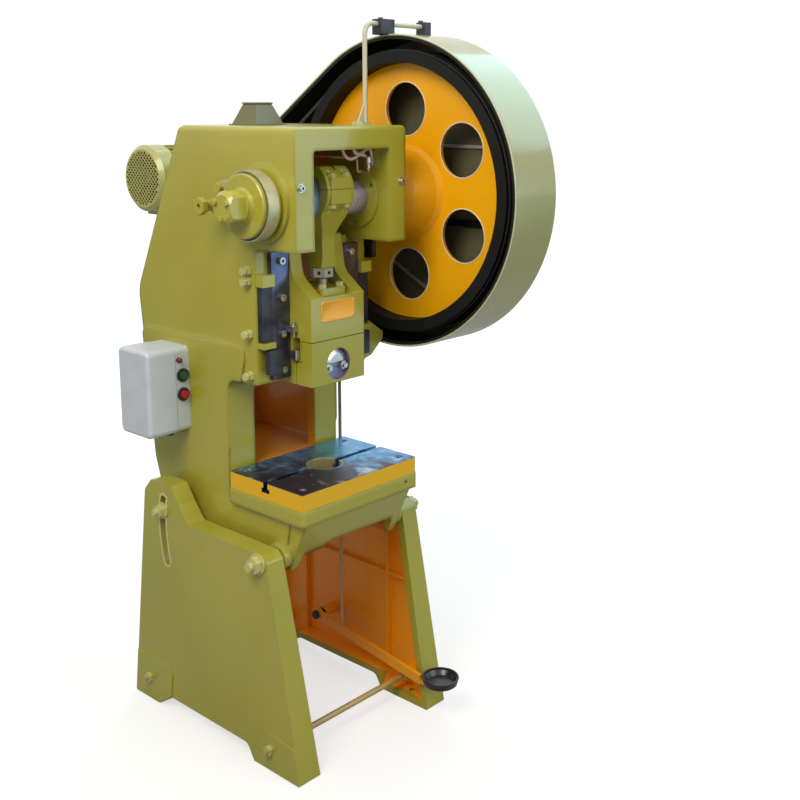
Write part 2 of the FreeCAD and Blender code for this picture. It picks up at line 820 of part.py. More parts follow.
def rod_envelope():
    """Big end, waisted shank and foot of the rod, before the cap is parted from it."""
    side = rod_x(2 * big_end_radius, -rod_width / 2, rod_width / 2, 0, crankpin_z)
    shank = side_profile(
        [(-30, rod_shank_end, 4), (30, rod_shank_end, 4), (27, crankpin_z - 128, 60),
         (62, crankpin_z - 44), (-62, crankpin_z - 44), (-27, crankpin_z - 128, 60)],
        -rod_width / 2, rod_width / 2)
    lugs = block(-38, 38, -big_end_radius - 2, big_end_radius + 2,
                 crankpin_z - 34, crankpin_z + 38)
    side = side.fuse([shank, lugs])
    front = front_profile(
        [(-30, rod_shank_end, 4), (30, rod_shank_end, 4), (shank_width / 2, rod_shank_end + 36, 30),
         (shank_width / 2, crankpin_z - 118, 90), (rod_width / 2, crankpin_z - 66, 40),
         (rod_width / 2, crankpin_z + rod_cap_height, 6),
         (-rod_width / 2, crankpin_z + rod_cap_height, 6),
         (-rod_width / 2, crankpin_z - 66, 40), (-shank_width / 2, crankpin_z - 118, 90),
         (-shank_width / 2, rod_shank_end + 36, 30)],
        -big_end_radius - 10, big_end_radius + 10)
    bore = rod_x(crankpin_diameter + 2 * bush_wall, -100, 100, 0, crankpin_z)
    return side.common(front).cut(bore)


def rod_bolt_places():
    places = []
    for x in (-26, 26):
        for y in (-big_end_radius + 12, big_end_radius - 12):
            places.append((x, y))
    return places


def connecting_rod():
    keep = block(-100, 100, -150, 150, 1300, split_height - 0.5)
    rod = rod_envelope().common(keep)
    socket = rod_z(34 + 2 * running_gap, rod_shank_end - 1, rod_shank_end + 52, 0, 0)
    rod = rod.cut(socket)
    for x, y in rod_bolt_places():
        rod = rod.cut(rod_z(14, crankpin_z - 60, split_height, x, y))
        rod = rod.cut(rod_z(27, crankpin_z - 70, crankpin_z - 34, x, y))
    return rod


def rod_cap():
    keep = block(-100, 100, -150, 150, split_height + 0.5, crankpin_z + 200)
    cap = rod_envelope().common(keep)
    oil_slot = block(-4, 4, -60, -20, crankpin_z + rod_cap_height - 10, crankpin_z + 90)
    cap = cap.cut(oil_slot)
    for x, y in rod_bolt_places():
        cap = cap.cut(rod_z(14, split_height, crankpin_z + 100, x, y))
        cap = cap.cut(rod_z(27, crankpin_z + 38, crankpin_z + 100, x, y))
    return cap


def rod_cap_bolts():
    bolts = []
    for x, y in rod_bolt_places():
        shank = rod_z(14, crankpin_z - 46, crankpin_z + 50, x, y)
        head = hexagon(22, 10, V(x, y, crankpin_z + 38), V(0, 0, 1))
        foot = hexagon(22, 11, V(x, y, crankpin_z - 45), V(0, 0, 1))
        bolts.append(shank.fuse([head, foot]))
    return bolts


def rod_bearing():
    shell = rod_x(crankpin_diameter + 2 * bush_wall, -rod_width / 2, rod_width / 2, 0, crankpin_z)
    return shell.cut(rod_x(crankpin_diameter + 2 * running_gap, -100, 100, 0, crankpin_z))


def ball_screw():
    """Adjusting screw: thread in the rod, hexagon collar with bar holes, neck and ball."""
    collar_top = rod_shank_end - contact_gap
    collar_bottom = collar_top - collar_height
    stem = turned_z(
        [(ball_height, screw_neck / 2), (collar_bottom - 6, screw_neck / 2),
         (collar_bottom, 20), (collar_top, 20), (collar_top, 17), (rod_shank_end + 46, 17),
         (rod_shank_end + 49, 14)], 0, 0)
    collar = hexagon(collar_diameter * 0.88, collar_height, V(0, 0, collar_bottom), V(0, 0, 1))
    collar = collar.common(rod_z(collar_diameter, collar_bottom, collar_top, 0, 0))
    ball = Part.makeSphere(ball_diameter / 2, V(0, 0, ball_height))
    screw = stem.fuse([collar, ball])
    middle = (collar_top + collar_bottom) / 2
    for index in range(3):
        angle = math.radians(30 + 60 * index)
        direction = V(math.cos(angle), math.sin(angle), 0)
        start = V(0, 0, middle).sub(V(direction).multiply(40))
        screw = screw.cut(Part.makeCylinder(5, 80, start, direction))
    return screw


# ---------------------------------------------------------------- slide
clamp_top = slide_bottom + clamp_height
front_top = slide_bottom + slide_block_height
knockout_low = slide_bottom + 73
knockout_y = -2.0
stop_screw_offset = 9.0


def slide_outline():
    return [
        (-slide_front, slide_bottom, 3),
        (-slide_front, front_top, 4),
        (12, front_top + 55, 50),
        (26, slide_bottom + horn_height, 8),
        (slide_back, slide_bottom + horn_height, 6),
        (slide_back, slide_bottom, 3),
    ]


def slide_casting():
    """Slide with its horns, guide wings, ball pocket, shank bore and knock-out slot."""
    body = side_profile(slide_outline(), -slide_width / 2, slide_width / 2)
    wing = guide_half - sliding_gap
    wings = plan_profile(
        rectangle(-wing, wing, guide_front + sliding_gap, slide_back, 3),
        slide_bottom + 20, slide_bottom + horn_height - 10)
    body = body.fuse(wings)
    between = slide_width / 2 - horn_width
    body = body.cut(front_profile(
        [(-between, front_top, 12), (between, front_top, 12),
         (between, slide_bottom + 500), (-between, slide_bottom + 500)],
        -slide_front - 1, slide_back - 28))
    body = body.cut(block(-between, between, slide_back - 30, slide_back + 1,
                          front_top + 28, slide_bottom + 500))
    body = body.cut(ball_pocket(front_top + 1))
    body = body.cut(rod_z(shank_diameter, slide_bottom - 1, slide_bottom + shank_depth, 0, 0))
    body = body.cut(rod_z(16, slide_bottom, knockout_low + 5, 0, 0))
    slot = block(-slide_width, slide_width, knockout_y - 15, knockout_y + 15,
                 knockout_low, knockout_low + knockout_slot_height)
    body = body.cut(slot)
    clamp_space = side_profile(clamp_outline(clamp_split), -slide_width, slide_width)
    for x in clamp_stud_places():
        body = body.cut(rod_y(14, -30, 30, x, slide_bottom + 42))
    return body.cut(clamp_space).removeSplitter()


def ball_pocket(top):
    """Room for the ball as the rod swings past the straight-line guide of the slide."""
    low = ball_height - ball_diameter / 2 - 7
    return stadium_z(ball_diameter / 2 + 1.0, stroke / 2 + 1.0, low, top)


def clamp_outline(gap):
    step = slide_bottom + shank_depth + 5
    back = knockout_y - 22
    return [
        (-slide_front - 3 * gap, slide_bottom - 3 * gap),
        (-clamp_split / 2 + gap, slide_bottom - 3 * gap),
        (-clamp_split / 2 + gap, step + gap),
        (back + gap, step + gap),
        (back + gap, clamp_top + gap),
        (-slide_front - 3 * gap, clamp_top + gap),
    ]


def clamp_stud_places():
    return (-29.0, 29.0)


def shank_clamp():
    """Front half of the shank bore, drawn against the slide by two studs."""
    clamp = side_profile(clamp_outline(0.0), -slide_width / 2, slide_width / 2)
    clamp = clamp.cut(rod_z(shank_diameter, 0, slide_bottom + shank_depth, 0, 0))
    recess_z = slide_bottom + 52
    clamp = clamp.cut(rod_y(clamp_recess, -slide_front - 1, -slide_front + 20, 0, recess_z))
    for x in clamp_stud_places():
        clamp = clamp.cut(rod_y(14, -100, 30, x, slide_bottom + 42))
    return clamp


def clamp_hardware():
    """Half-round bearing washer, two studs and their nuts in the clamp's recess."""
    recess_z = slide_bottom + 52
    floor = -slide_front + 20
    washer = rod_y(clamp_recess - 6, floor - 12, floor, 0, recess_z)
    crown = Part.makeSphere(90, V(0, floor - 16 + 90, recess_z))
    upper = block(-60, 60, -100, 60, recess_z + 4, recess_z + 60)
    shapes = [washer.common(crown).common(upper)]
    for x in clamp_stud_places():
        stud = rod_y(14, floor - 20, 28, x, slide_bottom + 42)
        nut = hexagon(22, 11, V(x, floor, slide_bottom + 42), V(0, -1, 0))
        shapes.append(stud.fuse(nut))
    return shapes


def ball_cap():
    """Plate over the ball, slotted to the rear so that the rod's neck can pass."""
    cap = plan_profile(rectangle(-47, 47, -48, 58, 8), front_top, front_top + 20)
    slot = stadium_z(screw_neck / 2 + 1.5, stroke / 2 + 1.0, front_top - 1, front_top + 21)
    return cap.cut(slot)


def ball_cap_bolts():
    bolts = []
    for x in (-33, 33):
        for y in (-35, 44):
            bolts.append(hexagon(20, 12, V(x, y, front_top + 20), V(0, 0, 1)))
    return bolts


def knockout_bar():
    """Loose bar across the slide, which the stops hold back as the slide rises."""
    reach = slide_width / 2 + stop_screw_offset + 5
    low = knockout_low + contact_gap
    return plan_profile(
        rectangle(-reach, reach, knockout_y - 13, knockout_y + 13, 3),
        low, low + knockout_bar_height)


def knockout_stops():
    """Stop screws in brackets on the guide bars, above the knock-out bar's ends."""
    side = slide_width / 2
    low = knockout_low + knockout_slot_height + 18
    bracket = block(side + 1.5, side + 19, knockout_y - 9, guide_front - gib_thickness,
                    low, low + 16)
    screw = rod_z(8, low - 16, low + 30, side + stop_screw_offset, knockout_y)
    nut = hexagon(13, 6, V(side + stop_screw_offset, knockout_y, low + 16), V(0, 0, 1))
    stop = bracket.fuse([screw, nut])
    return [stop, mirrored(stop)]


# ---------------------------------------------------------------- flywheel and belts
def belt_starts():
    return [belt_start + belt_pitch * index for index in range(belt_count)]


def flywheel():
    """Cast flywheel: grooved rim, web with round holes and a flared hub."""
    right = flywheel_left + flywheel_width
    rim = rod_x(2 * flywheel_radius, flywheel_left, right, 0, crank_height)
    rim = rim.cut(rod_x(2 * (flywheel_radius - flywheel_rim), flywheel_left - 1, right + 1,
                        0, crank_height))
    web_back = web_face + web_thickness
    web = rod_x(2 * flywheel_radius - flywheel_rim, web_face, web_back, 0, crank_height)
    hub = turned_x(
        [(flywheel_hub_start, flywheel_hub_small / 2), (flywheel_hub_start + 16, flywheel_hub_small / 2),
         (flywheel_hub_start + 34, flywheel_hub_small / 2 + 14), (web_face - 14, flywheel_hub / 2 - 12),
         (web_face, flywheel_hub / 2), (web_back, flywheel_hub / 2),
         (web_back + 14, flywheel_hub / 2 - 26), (right + 2, flywheel_hub_small / 2)],
        0, crank_height)
    wheel = rim.fuse([web, hub])
    wheel = wheel.cut(rod_x(flywheel_journal + 2 * bush_wall, 0, 600, 0, crank_height))
    for index in range(web_hole_count):
        angle = math.radians(web_hole_start + 360 * index / web_hole_count)
        y = -web_hole_circle * math.cos(angle)
        z = crank_height + web_hole_circle * math.sin(angle)
        wheel = wheel.cut(rod_x(web_hole, web_face - 40, web_back + 40, y, z))
    for start in belt_starts():
        groove = rod_x(2 * flywheel_radius + 10, start - 1, start + belt_width + 1, 0, crank_height)
        core = rod_x(2 * (flywheel_radius - groove_depth), start - 2, start + belt_width + 2,
                     0, crank_height)
        wheel = wheel.cut(groove.cut(core))
    return wheel.removeSplitter()


def flywheel_bush():
    bush = rod_x(flywheel_journal + 2 * bush_wall, flywheel_hub_start,
                 flywheel_left + flywheel_width + 2, 0, crank_height)
    return bush.cut(rod_x(flywheel_journal + 2 * running_gap, 0, 600, 0, crank_height))


def drive_belts():
    """Belts round the flywheel and the motor pulley, as continuous loops."""
    wheel_side = flywheel_radius - groove_depth + contact_gap
    pulley_side = pulley_radius - groove_depth + contact_gap
    belts = []
    for start in belt_starts():
        outer = loop_profile(wheel_side + belt_height, pulley_side + belt_height,
                             start, start + belt_width)
        inner = loop_profile(wheel_side, pulley_side, start - 1, start + belt_width + 1)
        belts.append(outer.cut(inner))
    return belts


# ---------------------------------------------------------------- motor
motor_body_left = motor_left + 52.0
motor_plate = 18.0
grille_pitch = 15.0       # across the diamonds of the fan cover
grille_cell = 11.5
terminal_left = motor_body_left + 150
terminal_bottom = motor_axis_z + motor_radius + 2


def motor_housing():
    """Finned housing between its end shields, with feet, bored for the shaft."""
    body = turned_x(
        [(motor_body_left, motor_radius - 6), (motor_body_left + 14, motor_radius - 6),
         (motor_body_left + 14, motor_radius - 13), (motor_right - 36, motor_radius - 13),
         (motor_right - 36, motor_radius - 6), (motor_right - 18, motor_radius - 6),
         (motor_right - 10, 62), (motor_right - 10, 34), (motor_right, 32)],
        motor_axis_y, motor_axis_z)
    fins = []
    for index in range(18):
        angle = -30 + 240 * index / 17
        fin = block(motor_body_left + 14, motor_right - 36, motor_axis_y + motor_radius - 18,
                    motor_axis_y + motor_radius - 2, motor_axis_z - 2, motor_axis_z + 2)
        fin.rotate(V(0, motor_axis_y, motor_axis_z), V(1, 0, 0), angle)
        fins.append(fin)
    feet = block(motor_body_left + 60, motor_body_left + 250, motor_axis_y - motor_foot_half,
                 motor_axis_y + motor_foot_half, motor_foot_z, motor_foot_z + 14)
    saddle = block(motor_body_left + 70, motor_body_left + 240, motor_axis_y - 50,
                   motor_axis_y + 50, motor_foot_z, motor_axis_z - 50)
    pad = block(terminal_left + 3, terminal_left + 97, motor_axis_y - 42, motor_axis_y + 42,
                motor_axis_z + 40, terminal_bottom)
    body = body.fuse(fins + [feet, saddle, pad])
    shaft = rod_x(motor_shaft + 2 * running_gap, motor_left, motor_right + 1,
                  motor_axis_y, motor_axis_z)
    return body.cut(shaft)


def motor_feet_bolts():
    bolts = []
    for x in (motor_body_left + 72, motor_body_left + 238):
        for y in (motor_axis_y - motor_bolt_half, motor_axis_y + motor_bolt_half):
            bolts.append(hexagon(18, 8, V(x, y, motor_foot_z + 14), V(0, 0, 1)))
    return bolts


def fan_cover():
    """Pressed cowl over the motor's fan; its end is a lattice of diamond holes."""
    cover = turned_x(
        [(motor_left, motor_radius - 12), (motor_left + 12, motor_radius),
         (motor_body_left + 10, motor_radius)], motor_axis_y, motor_axis_z)
    inside = turned_x(
        [(motor_left + 3, motor_radius - 12), (motor_left + 13, motor_radius - 4),
         (motor_body_left + 11, motor_radius - 6)], motor_axis_y, motor_axis_z)
    cover = cover.cut(inside)
    reach = motor_radius - 14 - grille_cell / 2
    rows = int(reach / grille_pitch * 2)
    cells = []
    for row in range(-rows, rows + 1):
        for column in range(-rows, rows + 1):
            u = column * grille_pitch + (row % 2) * grille_pitch / 2
            v = row * grille_pitch / 2
            if math.hypot(u, v) < reach:
                cells.append(diamond_x(grille_cell, motor_left - 1, motor_left + 4,
                                       motor_axis_y + u, motor_axis_z + v))
    return cover.cut(Part.makeCompound(cells))


def terminal_box():
    """Box and lid on the pad at the top of the motor's housing."""
    x0 = terminal_left
    rim = terminal_bottom + 28
    base = plan_profile(rectangle(x0, x0 + 100, motor_axis_y - 45, motor_axis_y + 45, 8),
                        terminal_bottom, rim)
    lid = plan_profile(rectangle(x0 - 3, x0 + 103, motor_axis_y - 48, motor_axis_y + 48, 10),
                       rim, rim + 12)
    return base.fuse(lid)


def motor_shaft_piece():
    return rod_x(motor_shaft, motor_left + 22, guard_right - 90, motor_axis_y, motor_axis_z)


def motor_pulley():
    """Grooved pulley at the shaft's end, with a long hub towards the motor."""
    x0 = belt_start - 6
    x1 = belt_start + belt_pitch * (belt_count - 1) + belt_width + 6
    pulley = rod_x(2 * pulley_radius, x0, x1, motor_axis_y, motor_axis_z)
    pulley = pulley.fuse(rod_x(motor_shaft + 24, x0 - 40, x0, motor_axis_y, motor_axis_z))
    for start in belt_starts():
        groove = rod_x(2 * pulley_radius + 10, start - 1, start + belt_width + 1,
                       motor_axis_y, motor_axis_z)
        core = rod_x(2 * (pulley_radius - groove_depth), start - 2, start + belt_width + 2,
                     motor_axis_y, motor_axis_z)
        pulley = pulley.cut(groove.cut(core))
    return pulley.cut(rod_x(motor_shaft, 0, 500, motor_axis_y, motor_axis_z))


def motor_fan():
    """Hub and radial blades behind the grille."""
    x0 = motor_left + 20
    hub = rod_x(52, x0, x0 + 22, motor_axis_y, motor_axis_z)
    blades = []
    for index in range(8):
        blade = block(x0 + 2, x0 + 20, motor_axis_y + 20, motor_axis_y + motor_radius - 14,
                      motor_axis_z - 1.5, motor_axis_z + 1.5)
        blade.rotate(V(0, motor_axis_y, motor_axis_z), V(1, 0, 0), 45 * index)
        blades.append(blade)
    fan = hub.fuse(blades)
    return fan.cut(rod_x(motor_shaft, motor_left, 0, motor_axis_y, motor_axis_z))


def frame_back_at(height):
    """Y of the frame's straight upper back at a height."""
    share = (head_top - height) / (head_top - back_waist_height)
    return back_top + share * (back_waist - back_top)


def motor_bracket():
    """Shelf plate on two gussets, bolted to the frame's sloping back."""
    top = motor_foot_z
    low = bracket_foot + 12
    x0 = motor_body_left + 40
    x1 = motor_body_left + 270
    near = frame_back_at(top - motor_plate / 2)
    plate = block(x0, x1, near, motor_axis_y + 112, top - motor_plate, top)
    shapes = []
    for x in (x0 + 20, x1 - 38):
        shapes.append(side_profile(
            [(near, top - motor_plate), (frame_back_at(low), low),
             (frame_back_at(low) + 20, low, 6), (motor_axis_y + 96, top - motor_plate)],
            x, x + 18))
    back = side_profile(
        [(frame_back_at(top), top), (frame_back_at(bracket_foot), bracket_foot),
         (frame_back_at(bracket_foot) + 14, bracket_foot), (frame_back_at(top) + 14, top)], x0, x1)
    bracket = plate.fuse(shapes + [back])
    return bracket.cut(side_profile(frame_side_outline(), -half_width, half_width))


# ---------------------------------------------------------------- belt guard
def belt_guard():
    """Sheet-metal guard round the flywheel and belts, closed on the right side."""
    outer = loop_profile(guard_radius, guard_tail_radius, guard_left, guard_right)
    inner = loop_profile(guard_radius - guard_sheet, guard_tail_radius - guard_sheet,
                         guard_left + guard_sheet, guard_right - guard_sheet)
    mouth = loop_profile(guard_radius - guard_lip, guard_tail_radius - guard_lip,
                         guard_left - 1, guard_left + guard_sheet + 1)
    return outer.cut(inner).cut(mouth)


def guard_stay():
    """Round bar bent over the guard's top, on a foot screwed to the frame's head."""
    over = crank_height + guard_radius + 28
    path = [V(stay_x, stay_y, head_top + 8), V(stay_x, stay_y, over),
            V(guard_right + 4, stay_y, over)]
    bar = bent_bar(path, stay_bend, stay_diameter)
    foot = block(stay_x - 34, half_width, stay_y - 20, stay_y + 20,
                 head_top, head_top + 8)
    web = front_profile(
        [(stay_x - 30, head_top + 8), (stay_x, head_top + 8), (stay_x, head_top + 70)],
        stay_y - 3, stay_y + 3)
    web = web.cut(rod_z(stay_diameter, head_top, head_top + 100, stay_x, stay_y))
    return bar.fuse([foot, web])


def guard_clamps():
    """Two-bolt clamps between the stay and the guard's rim."""
    clamps = []
    over = crank_height + guard_radius + 28
    for x0, x1 in ((guard_left - 34, guard_left + 22), (guard_right - 26, guard_right)):
        clamp = block(x0, x1, stay_y - 18, stay_y + 18, crank_height + guard_radius - 6, over + 13)
        clamp = clamp.cut(rod_x(2 * guard_radius, 0, 600, 0, crank_height))
        clamp = clamp.cut(rod_x(stay_diameter, 0, 600, stay_y, over))
        nut = hexagon(13, 6, V((x0 + x1) / 2, stay_y + 12, over + 13), V(0, 0, 1))
        clamps.append(clamp.fuse(nut))
    return clamps


def lower_bracket():
    """Gusset from the frame's right side to the guard's left face, with a bolted flange."""
    web = front_profile(
        [(half_width, bracket_low), (half_width + 30, bracket_low + 8, 6),
         (guard_left, bracket_tip_low, 4), (guard_left, bracket_tip_high, 4),
         (half_width, bracket_high)], guide_front, guide_front + bracket_thickness)
    middle = (right_bolt_heights[1] + right_bolt_heights[2]) / 2
    flange = side_profile(
        rectangle(guide_front, guide_front + 50, middle - 40, middle + 40, 6),
        half_width, half_width + 8)
    bracket = web.fuse(flange)
    for z in (middle - bracket_bolt_gap / 2, middle + bracket_bolt_gap / 2):
        bracket = bracket.fuse(hexagon(19, 8, V(half_width + 8, guide_front + 34, z), V(1, 0, 0)))
    return bracket


# ---------------------------------------------------------------- lubrication
def oil_box():
    """Tapered sheet box on the frame's top, with a thin foot and a flat lid."""
    rings = []
    for half, z in ((oil_box_base / 2, head_top), (oil_box_top / 2, head_top + oil_box_height)):
        corners = [V(oil_box_x + x * half, oil_box_y + y * half, z)
                   for x, y in ((-1, -1), (1, -1), (1, 1), (-1, 1), (-1, -1))]
        rings.append(Part.makePolygon(corners))
    body = Part.makeLoft(rings, True)
    foot = oil_box_base / 2 + 7
    lid = oil_box_top / 2 + 3
    plates = [
        plan_profile(rectangle(oil_box_x - foot, oil_box_x + foot, oil_box_y - foot,
                               oil_box_y + foot, 6), head_top, head_top + 3),
        plan_profile(rectangle(oil_box_x - lid, oil_box_x + lid, oil_box_y - lid, oil_box_y + lid, 3),
                     head_top + oil_box_height, head_top + oil_box_height + 4),
    ]
    return body.fuse(plates)


def oil_pipes():
    """Copper feed pipes in the head, from the roof to the two bearing flanges."""
    face = cheek_inner - bush_flange_thickness
    inlet = crank_height + 72
    pipe = bent_bar(
        [V(face, -20, inlet), V(face - 11, -20, inlet), V(face - 11, -20, inlet + 38),
         V(42, 110, window_top - 24), V(42, 110, window_top)], 9, 7)
    return [pipe, mirrored(pipe)]


def oil_cups():
    """Screwed oil cups on short elbows from the cheeks' inner faces."""
    x = cheek_inner - 16
    z = crank_height + 90
    stub = rod_x(8, x, cheek_inner, -60, z)
    cup = turned_z([(z - 6, 6), (z + 6, 6), (z + 8, 9), (z + 24, 9), (z + 27, 6)], x, -60)
    cup = cup.fuse(stub)
    return [cup, mirrored(cup)]


# ---------------------------------------------------------------- stand
foot_arch = 42.0


def leg_outline():
    """Side view of a leg: two feet, sloping edges and the raised rear shoulder."""
    return [
        (-204, 0, 4), (-84, 612, 12), (-66, 630, 10), (259, 630, 22), (300, 680, 16),
        (334, leg_top, 24), (430, leg_top, 24), (466, 690, 20), (558, 20, 10), (558, 0, 4),
        (436, 0, 10), (370, foot_arch, 24), (16, foot_arch, 24), (-10, 0, 10),
    ]


def leg_inside_outline():
    """The same edge drawn in by the rim, where the leg is hollow on its inner side."""
    rim = leg_rim
    return [
        (-204 + rim + 6, rim), (-84 + rim, 612 - rim - 18, 30), (-40, 630 - rim, 30),
        (259 + 12, 630 - rim, 20), (318, 680, 16), (340, leg_top - rim, 14),
        (430 - 8, leg_top - rim, 14), (446, 690, 14), (558 - rim - 4, rim),
        (436 + 10, rim), (378, foot_arch + rim, 20), (8, foot_arch + rim, 20),
        (-18, rim),
    ]


def lock_slot():
    """Arc slot about the pivot, long enough for the whole tilt."""
    radius = math.hypot(lock_y - pivot_y, lock_z - pivot_z)
    rest = math.degrees(math.atan2(lock_z - pivot_z, lock_y - pivot_y))
    high = rest + 4.5
    low = rest - tilt_slot - 0.9
    half = lock_diameter / 2 + 1.0

    def point(distance, degrees):
        angle = math.radians(degrees)
        return V(leg_outer - 60, pivot_y + distance * math.cos(angle),
                 pivot_z + distance * math.sin(angle))

    middle = (high + low) / 2
    edges = [
        Part.Arc(point(radius + half, high), point(radius + half, middle),
                 point(radius + half, low)).toShape(),
        Part.LineSegment(point(radius + half, low), point(radius - half, low)).toShape(),
        Part.Arc(point(radius - half, low), point(radius - half, middle),
                 point(radius - half, high)).toShape(),
        Part.LineSegment(point(radius - half, high), point(radius + half, high)).toShape(),
    ]
    slot = Part.Face(Part.Wire(edges)).extrude(V(120, 0, 0))
    ends = []
    for degrees in (high, low):
        end = point(radius, degrees)
        ends.append(rod_x(2 * half, end.x, end.x + 120, end.y, end.z))
    return slot.fuse(ends)


def right_leg():
    """Cast leg: flat outer plate, rim turned inwards, ribs, foot pads and bosses."""
    leg = side_profile(leg_outline(), leg_flange_bottom, leg_outer)
    hollow = side_profile(leg_inside_outline(), leg_flange_bottom - 1, leg_inner_face)
    leg = leg.cut(hollow)
    ribs = [
        block(leg_inner_face - 16, leg_inner_face, -2, 8, foot_arch + 4, 622),
        block(leg_inner_face - 16, leg_inner_face, 378, 388, foot_arch + 4, 460),
        block(leg_inner_face - 16, leg_inner_face, -130, 500, 370, 380),
    ]
    inside = side_profile(leg_outline(), leg_flange_bottom, leg_outer)
    bosses = [
        rod_x(84, leg_flange_bottom, leg_inner_face, pivot_y, pivot_z),
        rod_x(44, leg_inner_face - 30, leg_inner_face, tie_front[0], tie_front[1]),
        rod_x(44, leg_inner_face - 30, leg_inner_face, tie_rear[0], tie_rear[1]),
    ]
    for rib in ribs + bosses:
        leg = leg.fuse(rib.common(inside))
    front_pad = side_profile(
        [(-204, 2), (-184, 104, 4), (-80, 116, 30), (-28, 70, 30), (-14, 2)],
        leg_outer - 2, leg_outer + foot_pad_step)
    rear_pad = side_profile(
        [(436, 2), (372, 46), (361, 120, 20), (386, 147, 20), (538, 147), (557, 2)],
        leg_outer - 2, leg_outer + foot_pad_step)
    face = side_profile(leg_outline(), leg_outer - 2, leg_outer + foot_pad_step)
    leg = leg.fuse([front_pad.common(face), rear_pad.common(face)])
    lean = front_profile(
        [(leg_flange_bottom - 10, -1), (leg_flange_bottom, 0),
         (leg_flange_top, leg_top), (leg_flange_top, leg_top + 1),
         (leg_flange_bottom - 10, leg_top + 1)], -300, 600)
    leg = leg.cut(lean)
    holes = [
        lock_slot(),
        rod_x(pivot_diameter, 0, 2 * leg_outer, pivot_y, pivot_z),
        rod_x(tie_rod, 0, 2 * leg_outer, tie_front[0], tie_front[1]),
        rod_x(tie_rod, 0, 2 * leg_outer, tie_rear[0], tie_rear[1]),
        rod_z(anchor_hole, -1, leg_rim + 1, anchor_half_width, anchor_front),
        rod_z(anchor_hole, -1, leg_rim + 1, anchor_half_width, anchor_rear),
    ]
    for hole in holes:
        leg = leg.cut(hole)
    return leg.removeSplitter()


def treadle_leg(leg):
    """The right leg also carries the boss for the treadle's pivot pin."""
    y, z = lever_pivot
    boss = rod_x(36, leg_flange_bottom + 4, leg_inner_face, y, z)
    return leg.fuse(boss).cut(rod_x(treadle_pin_diameter, 0, leg_outer, y, z))


def tie_rod_piece(place):
    return rod_x(tie_rod, -leg_outer - 26, leg_outer + 26, place[0], place[1])


def tie_rod_nuts():
    nuts = []
    for y, z in (tie_front, tie_rear):
        nut = hexagon(28, 12, V(leg_outer + foot_pad_step, y, z), V(1, 0, 0))
        inner = hexagon(28, 10, V(leg_inner_face - 40, y, z), V(1, 0, 0))
        for shape in (nut, inner):
            shape = shape.cut(rod_x(tie_rod, 0, 2 * leg_outer, y, z))
            nuts.append(shape)
            nuts.append(mirrored(shape))
    return nuts


def pivot_bolts():
    """Pins that carry the frame, clamped by a nut and a washer outside each leg."""
    pin = rod_x(pivot_diameter, half_width - side_wall + 6, leg_outer, pivot_y, pivot_z)
    washer = rod_x(60, leg_outer, leg_outer + 5, pivot_y, pivot_z)
    nut = hexagon(44, 18, V(leg_outer + 5, pivot_y, pivot_z), V(1, 0, 0))
    stub = rod_x(26, leg_outer + 20, leg_outer + 38, pivot_y, pivot_z)
    bolt = pin.fuse([washer, nut, stub])
    return [bolt, mirrored(bolt)]


def lock_bolts():
    """Bolts in the frame that slide in the legs' arc slots and lock the tilt."""
    shank = rod_x(lock_diameter, half_width - side_wall + 6, leg_outer + contact_gap,
                  lock_y, lock_z)
    washer = rod_x(50, leg_outer + contact_gap, leg_outer + 5, lock_y, lock_z)
    nut = hexagon(34, 16, V(leg_outer + 5, lock_y, lock_z), V(1, 0, 0))
    stub = rod_x(20, leg_outer + 20, leg_outer + 34, lock_y, lock_z)
    bolt = shank.fuse([washer, nut, stub])
    return [bolt, mirrored(bolt)]


# ---------------------------------------------------------------- treadle and linkage
pull_reach = pull_pin_diameter / 2 + 1.2 + pull_rod_diameter / 2
pull_pin_y = pull_rod_y + pull_reach
lever_slope = (lever_pivot[1] - lever_front[1]) / (lever_pivot[0] - lever_front[0])
pull_pin_z = lever_pivot[1] - (lever_pivot[0] - pull_pin_y) * lever_slope
guide_lug_top = 1236.0
spring_length = 60.0


def lever_point(y, offset):
    return (y, lever_pivot[1] - (lever_pivot[0] - y) * lever_slope + offset)


def treadle_lever():
    """Flat bar on edge, with its pivot eye, the pull rod's pin and the pad's seat."""
    outer = lever_inner + lever_thickness
    half = lever_height / 2
    bar = side_profile(
        [lever_point(lever_pivot[0] + 10, half), lever_point(lever_front[0], half),
         lever_point(lever_front[0], -half), lever_point(lever_pivot[0] + 10, -half)],
        lever_inner, outer)
    eye = rod_x(44, lever_inner, outer, lever_pivot[0], lever_pivot[1])
    pin = rod_x(pull_pin_diameter, outer, pull_rod_x + 6, pull_pin_y, pull_pin_z)
    seat_top = pad_top - 26
    seat = plan_profile(
        [(lever_inner, lever_front[0] + 4, 2), (lever_inner, pad_y - 20, 12),
         (pad_x + 20, pad_y - 20, 12), (pad_x + 20, pad_y + 20, 12),
         (outer, lever_front[0] + 4, 2)], seat_top - 8, seat_top)
    lever = bar.fuse([eye, pin, seat])
    bore = rod_x(treadle_pin_diameter + 2 * running_gap, lever_inner - 1, outer + 1,
                 lever_pivot[0], lever_pivot[1])
    return lever.cut(bore)


def treadle_pin():
    """Pivot pin in the leg's boss, with a collar on each side of the lever."""
    y, z = lever_pivot
    outer = lever_inner + lever_thickness
    pin = rod_x(treadle_pin_diameter, lever_inner - 8, leg_outer, y, z)
    head = rod_x(28, lever_inner - 8, lever_inner - contact_gap, y, z)
    collar = rod_x(28, outer + contact_gap, leg_flange_bottom + 4, y, z)
    return pin.fuse([head, collar])


